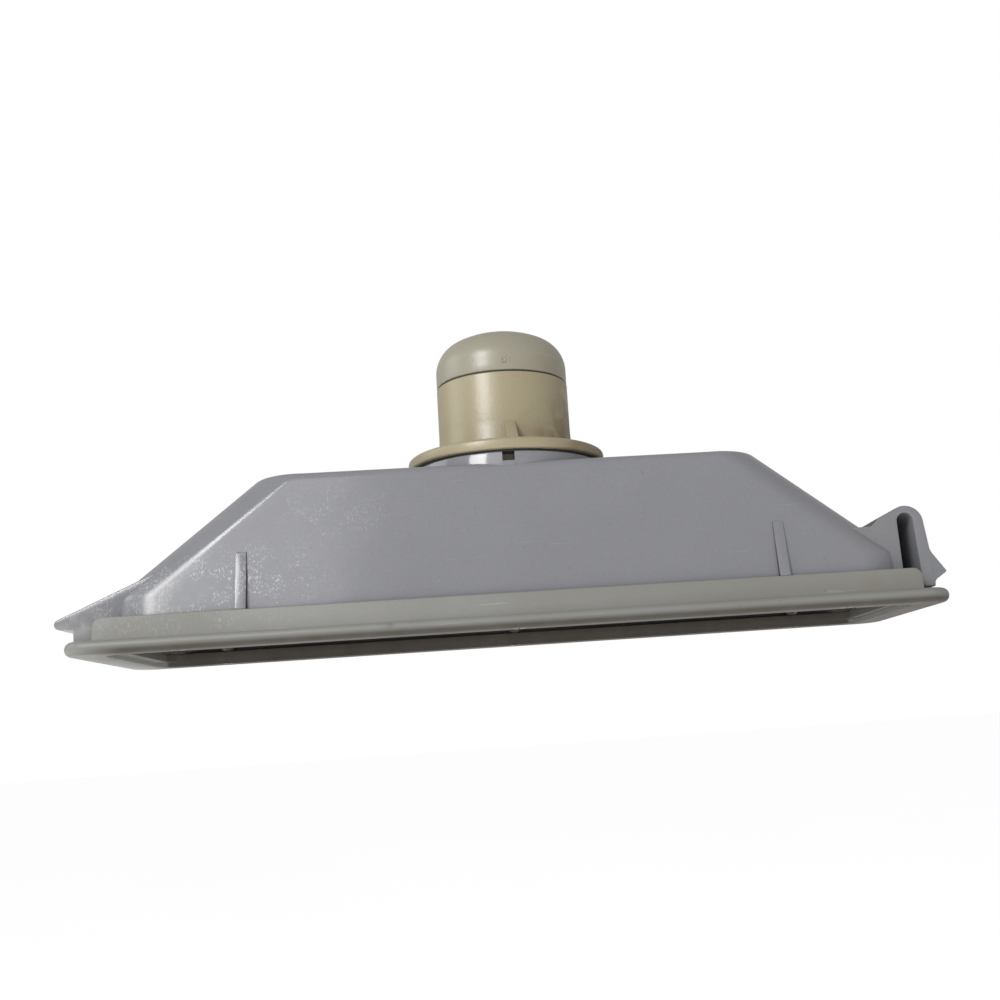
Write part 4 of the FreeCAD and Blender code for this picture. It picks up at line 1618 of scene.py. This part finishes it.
@dataclass
class DomeLid:
    """Domed lid on its threaded spindle."""

    radius: float = 20.1
    foot: float = 77.75
    shoulder_start: float = 82.2
    shoulder: float = 9.8
    sweep: float = 63.5
    wall: float = 2.0
    mark_direction: float = -89.0
    mark_height: float = 80.6
    spindle: float = 2.5
    spindle_foot: float = 21.8
    spindle_top: float = 90.0
    thread_foot: float = 25.5
    thread_top: float = 77.0
    thread_depth: float = 0.42
    lead: float = 5.0
    starts: int = 2

    def dome_line(self, depth: float) -> Array:
        """Half section of the dome: upright side, shoulder arc and crown arc that meet tangent.

        Args:
            depth: How far inside the outer skin.

        Returns:
            (radius, height) rows from foot to apex.
        """
        centre = (self.radius - self.shoulder, self.shoulder_start)
        round_off = self.shoulder - depth
        bend = arc(centre, round_off, 0.0, self.sweep, 18)
        crown = bend[-1, 0] / math.cos(math.radians(self.sweep))
        middle = (0.0, bend[-1, 1] - crown * math.sin(math.radians(self.sweep)))
        top = arc(middle, crown, self.sweep, 90.0, 14)[1:]
        top[-1, 0] = 0.0
        side = [(self.radius - depth, self.foot), (self.radius - depth, self.foot + 2.0)]
        return np.concatenate([np.array(side), bend, top])

    def cap(self) -> bpy.types.Object:
        """Dome with its boss, three guide legs and a small round mould mark.

        Returns:
            The cap.
        """
        outer = self.dome_line(0.0)
        inner = self.dome_line(self.wall)
        lip = arc((self.radius - 0.35, self.foot + 0.35), 0.35, 0.0, -90.0, 5)
        surface = Surface()
        surface.turn(np.concatenate([outer[:0:-1], lip, inner]), 176, closed=False)
        boss = rounded([(1.6, 79.0), (5.2, 79.0), (5.2, 92.8), (1.6, 92.8)], [0.1, 0.4, 0.1, 0.1])
        surface.turn(boss, 56)
        leg = [(16.0, 60.0), (17.75, 60.0), (17.75, 79.0), (18.9, 80.0), (18.9, 84.0), (16.0, 84.0)]
        outline = rounded(leg, [0.5, 0.5, 0.4, 0.3, 0.1, 0.3])
        for degrees in thirds(LEG_DIRECTION):
            surface.prism(outline, -2.0, 2.0, 0.35, spoke_axes(degrees))
        self.mould_mark(surface)
        return surface.make("dome_lid")

    def mould_mark(self, surface: Surface) -> None:
        """Add a shallow round mark on the front of the dome's side: a low disc with a hollow middle.

        Args:
            surface: Where it goes.
        """
        profile = np.array([(0.0, 0.02), (0.40, 0.02), (0.48, 0.2), (0.62, 0.26), (0.80, 0.22),
                            (0.88, -0.2)])
        angle = np.linspace(0.0, 2.0 * np.pi, 28, endpoint=False)
        turn = math.radians(self.mark_direction)
        out = np.array([math.cos(turn), math.sin(turn), 0.0])
        side = np.array([-math.sin(turn), math.cos(turn), 0.0])
        up = np.array([0.0, 0.0, 1.0])
        centre = out * self.radius + up * self.mark_height
        flat = np.cos(angle)[None, :, None] * side + np.sin(angle)[None, :, None] * up
        rows = centre + profile[:, :1, None] * flat + profile[:, 1:, None] * out
        surface.grid(rows)
        surface.end(rows[-1])

    def rod(self) -> bpy.types.Object:
        """Spindle with a two-start thread.

        The radius is that of the rod less a rounded groove whose place along the rod moves by one
        lead for each turn: phase = (height - lead * angle / full turn) / pitch. The groove fades in
        and out at the thread's ends, and a narrow neck near the foot takes the stop clip.

        Returns:
            The spindle.
        """
        low, high = self.spindle_foot, self.spindle_top
        height = np.linspace(low, high, 620)
        angle = np.linspace(0.0, 2.0 * np.pi, 40, endpoint=False)
        pitch = self.lead / self.starts
        phase = (height[:, None] - self.lead * angle / (2.0 * np.pi)) / pitch
        groove = 0.5 - 0.5 * np.cos(2.0 * np.pi * phase)
        run_in = np.clip((height - self.thread_foot) / 0.8, 0.0, 1.0)
        run_out = np.clip((self.thread_top - height) / 0.8, 0.0, 1.0)
        radius = self.spindle - self.thread_depth * (run_in * run_out)[:, None] * groove ** 0.7
        chamfer = np.minimum(height - low, high - height)
        radius = np.minimum(radius, (2.0 + chamfer)[:, None])
        neck = (height > 22.8) & (height < 23.6)
        radius[neck] = 1.95
        x = radius * np.cos(angle)
        y = radius * np.sin(angle)
        rows = np.stack([x, y, np.broadcast_to(height[:, None], x.shape)], axis=-1)
        surface = Surface()
        surface.grid(rows)
        surface.end(rows[0])
        surface.end(rows[-1])
        return surface.make("threaded_spindle", 50.0)

    def build(self, finishes: Finishes) -> None:
        """Build and dress the lid, its seal and its spindle.

        Args:
            finishes: All finishes.
        """
        settle(self.cap(), finishes, Slot.CAP, Body.LID, "dome_cap")
        seal = Surface()
        seal.turn(rounded([(18.4, 77.27), (19.7, 77.27), (19.7, 77.75), (18.4, 77.75)], 0.2), 120)
        settle(seal.make("lid_seal"), finishes, Slot.RUBBER, Body.LID, "cap_seal")
        settle(self.rod(), finishes, Slot.STEEL, Body.LID, "spindle")


@dataclass
class Knob:
    """Scalloped knob and its snap-in cover."""

    radius: float = 14.0
    foot: float = 20.0
    top: float = 43.2
    scallops: int = 8
    cutter: float = 4.0
    cutter_place: float = 16.2
    first_scallop: float = 22.5
    softness: float = 0.7
    edge: float = 1.6

    def rim(self, angle: Array) -> Array:
        """Outer radius at an angle: a circle bitten by evenly spaced round cutters.

        At angle d from a cutter of radius c at distance D, the bite starts at
        D cos d - sqrt(c * c - (D sin d) * (D sin d)). The smaller of bite and circle is taken,
        less (softness - their difference)^2 / (4 softness) where they differ by less than that.

        Args:
            angle: Angles about the axis.

        Returns:
            Radii.
        """
        step = 2.0 * np.pi / self.scallops
        away = (angle - math.radians(self.first_scallop) + step / 2.0) % step - step / 2.0
        across = self.cutter_place * np.sin(away)
        depth = np.sqrt(np.maximum(self.cutter ** 2 - across ** 2, 0.0))
        inner = self.cutter_place * np.cos(away) - depth
        bite = np.where(np.abs(across) < self.cutter, inner, np.inf)
        gap = np.maximum(self.softness - np.abs(bite - self.radius), 0.0)
        return np.minimum(bite, self.radius) - gap ** 2 / (4.0 * self.softness)

    def grip(self) -> bpy.types.Object:
        """Knob as one sheet: pocket, underside, scalloped wall, top, shaft and bore.

        Returns:
            The knob.
        """
        a = np.radians(np.linspace(0.0, 90.0, 6))
        low = np.stack([self.edge * (1.0 - np.sin(a)), self.foot + self.edge * (1.0 - np.cos(a))], 1)
        high = np.stack([self.edge * (1.0 - np.cos(a)), self.top - self.edge * (1.0 - np.sin(a))], 1)
        shaft = np.array([(4.4, 43.2), (4.4, 49.3), (3.6, 49.3), (3.6, 50.1), (4.4, 50.1), (4.4, 50.6),
                          (4.1, 50.9), (2.9, 50.9), (2.9, 42.0), (4.2, 42.0), (4.2, 34.0), (7.5, 34.0),
                          (7.5, 20.3), (7.8, 20.0)])
        angle = np.linspace(0.0, 2.0 * np.pi, 192, endpoint=False)
        wall = self.rim(angle)
        outer = np.concatenate([low, high])
        inner = np.broadcast_to(shaft[:, :1], (len(shaft), angle.size))
        radius = np.concatenate([wall - outer[:, :1], inner])
        height = np.concatenate([outer[:, 1], shaft[:, 1]])[:, None]
        x = radius * np.cos(angle)
        y = radius * np.sin(angle)
        surface = Surface()
        surface.grid(np.stack([x, y, np.broadcast_to(height, x.shape)], axis=-1), round_rows=True)
        return surface.make("scalloped_knob", 35.0)

    def cover(self) -> bpy.types.Object:
        """Snap-in cover: a shallow dished disc with a round bead and a skirt.

        Returns:
            The cover.
        """
        profile = np.array([(0.0, 20.35), (3.4, 20.3), (4.2, 20.1), (4.6, 20.0), (5.2, 20.15),
                            (5.8, 20.15), (6.6, 20.05), (7.1, 20.05), (7.42, 20.3), (7.45, 24.0),
                            (6.3, 24.0), (6.3, 21.2), (0.0, 21.2)])
        surface = Surface()
        surface.turn(profile, 72, closed=False)
        return surface.make("knob_cover_disc", 40.0)

    def build(self, finishes: Finishes) -> None:
        """Build and dress the knob.

        Args:
            finishes: All finishes.
        """
        settle(self.grip(), finishes, Slot.KNOB, Body.KNOB, "control_knob")
        settle(self.cover(), finishes, Slot.KNOB, Body.KNOB, "knob_cover")


# ---------------------------------------------------------------------------------------------
# Studio
# ---------------------------------------------------------------------------------------------


@dataclass(frozen=True)
class Lamp:
    """A rectangular soft light that looks at the vent.

    Bearing and lift are degrees seen from the vent, distances and sizes are in metres.
    """

    name: str
    bearing: float
    lift: float
    distance: float
    width: float
    height: float
    radiance: float
    colour: Colour = (1.0, 1.0, 1.0)

    def place(self, target: Vector) -> None:
        """Add the light.

        Its power is radiance * pi * area.

        Args:
            target: The point that it looks at, in metres.
        """
        data = bpy.data.lights.new(self.name, "AREA")
        data.shape = "RECTANGLE"
        data.size = self.width
        data.size_y = self.height
        data.energy = self.radiance * math.pi * self.width * self.height
        data.color = self.colour
        turn, rise = math.radians(self.bearing), math.radians(self.lift)
        way = Vector((math.cos(turn) * math.cos(rise), math.sin(turn) * math.cos(rise), math.sin(rise)))
        lamp = bpy.data.objects.new(self.name, data)
        lamp.location = target + way * self.distance
        lamp.rotation_euler = (-way).to_track_quat("-Z", "Y").to_euler()
        bpy.context.scene.collection.objects.link(lamp)


LAMPS: tuple[Lamp, ...] = (
    Lamp("key_light", bearing=-125.5, lift=27.0, distance=1.2, width=0.40, height=0.46, radiance=14.0),
    Lamp("left_light", bearing=176.0, lift=24.0, distance=1.6, width=0.8, height=0.6, radiance=2.0),
    Lamp("window_glow", bearing=-113.0, lift=25.0, distance=1.6, width=0.75, height=0.5, radiance=2.2),
)


@dataclass
class StudioSet:
    """Pale floor, soft light and camera.

    The floor's height is in metres, the camera's angles are in degrees and its place is in
    millimetres.
    """

    floor_height: float = -0.45
    backdrop: float = 1.0
    ambient: float = 0.44
    focal: float = 1.21146
    yaw: float = 4.43
    pitch: float = 9.16
    roll: float = -4.03
    place: Triple = (-8.45, -365.09, -28.46)
    shift: Point = (-0.0759, 0.0340)

    def floor(self) -> None:
        """Lay a large flat sheet of pale paper well below the vent."""
        line = np.linspace(-40.0, 40.0, 41)
        x, y = np.meshgrid(line, line)
        z = np.full_like(x, self.floor_height)
        points = np.stack([x, y, z], axis=-1).reshape(-1, 3)
        index = np.arange(x.size).reshape(x.shape)
        quads = np.stack([index[:-1, :-1], index[:-1, 1:], index[1:, 1:], index[1:, :-1]], axis=-1)
        mesh = bpy.data.meshes.new("paper_floor")
        mesh.from_pydata(points.tolist(), [], quads.reshape(-1, 4).tolist())
        mesh.shade_smooth()
        mesh.materials.append(Paper("pale_paper", (0.94, 0.94, 0.94)).paint())
        sheet = bpy.data.objects.new("paper_floor", mesh)
        bpy.context.scene.collection.objects.link(sheet)

    def camera(self) -> None:
        """Place the camera by yaw, pitch and roll; its matrix's columns are right, up and backwards."""
        yaw, pitch, roll = (math.radians(v) for v in (self.yaw, self.pitch, self.roll))
        ahead = Vector((math.sin(yaw) * math.cos(pitch), math.cos(yaw) * math.cos(pitch), math.sin(pitch)))
        level = Vector((math.cos(yaw), -math.sin(yaw), 0.0))
        above = level.cross(ahead)
        right = math.cos(roll) * level + math.sin(roll) * above
        up = math.cos(roll) * above - math.sin(roll) * level
        data = bpy.data.cameras.new("view")
        data.sensor_width = SENSOR
        data.lens = SENSOR * self.focal
        data.shift_x, data.shift_y = self.shift
        data.clip_start = 0.01
        data.dof.use_dof = False
        eye = bpy.data.objects.new("view", data)
        turn = Matrix((right, up, -ahead)).transposed().to_4x4()
        eye.matrix_world = Matrix.Translation(Vector(self.place) * MM) @ turn
        bpy.context.scene.collection.objects.link(eye)
        bpy.context.scene.camera = eye

    def light(self) -> None:
        """Even pale surroundings, a soft key light at the front left and two wide dim lights.

        The surroundings look white to the camera and light the vent with less.
        """
        scene = bpy.context.scene
        world = bpy.data.worlds.new("surroundings")
        scene.world = world
        world.use_nodes = True
        tree = world.node_tree
        tree.nodes.clear()
        glow = tree.nodes.new("ShaderNodeBackground")
        path = tree.nodes.new("ShaderNodeLightPath")
        level = tree.nodes.new("ShaderNodeMapRange")
        level.inputs["To Min"].default_value = self.ambient
        level.inputs["To Max"].default_value = self.backdrop
        out = tree.nodes.new("ShaderNodeOutputWorld")
        glow.inputs["Color"].default_value = (1.0, 1.0, 1.0, 1.0)
        tree.links.new(path.outputs["Is Camera Ray"], level.inputs["Value"])
        tree.links.new(level.outputs[0], glow.inputs["Strength"])
        tree.links.new(glow.outputs[0], out.inputs[0])
        target = Vector((0.0, 0.0, 0.04))
        for lamp in LAMPS:
            lamp.place(target)
        scene.view_settings.view_transform = "Standard"

    def build(self) -> None:
        """Set up floor, light and camera."""
        self.floor()
        self.light()
        self.camera()
        LOG.info("studio ready")


class SmallHardware:
    """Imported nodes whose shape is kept: screws, rings, pin, washer and bush."""

    WEAR: dict[str, Slot] = {
        "frame_screws": Slot.DULL,
        "spider_screws": Slot.STEEL,
        "knob_insert": Slot.BRASS,
        "thrust_washer": Slot.NYLON,
        "knob_retaining_clip": Slot.STEEL,
        "spindle_pin": Slot.STEEL,
        "spindle_stop_clip": Slot.STEEL,
    }

    def build(self, finishes: Finishes) -> None:
        """Give every kept node its finish.

        Args:
            finishes: All finishes.
        """
        for node, slot in self.WEAR.items():
            finishes.dress_node(node, slot)


def main() -> None:
    """Build the vent and the studio."""
    logging.basicConfig(level=logging.INFO, format="%(name)s: %(message)s")
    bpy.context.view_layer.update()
    finishes = Finishes()
    hopper = Hopper()
    hopper.build(finishes)
    SnapClip(hopper).build(finishes)
    RimFrame().build(finishes)
    Sleeve().build(finishes)
    DomeLid().build(finishes)
    Knob().build(finishes)
    SmallHardware().build(finishes)
    StudioSet().build()


if __name__ == "__main__":
    main()
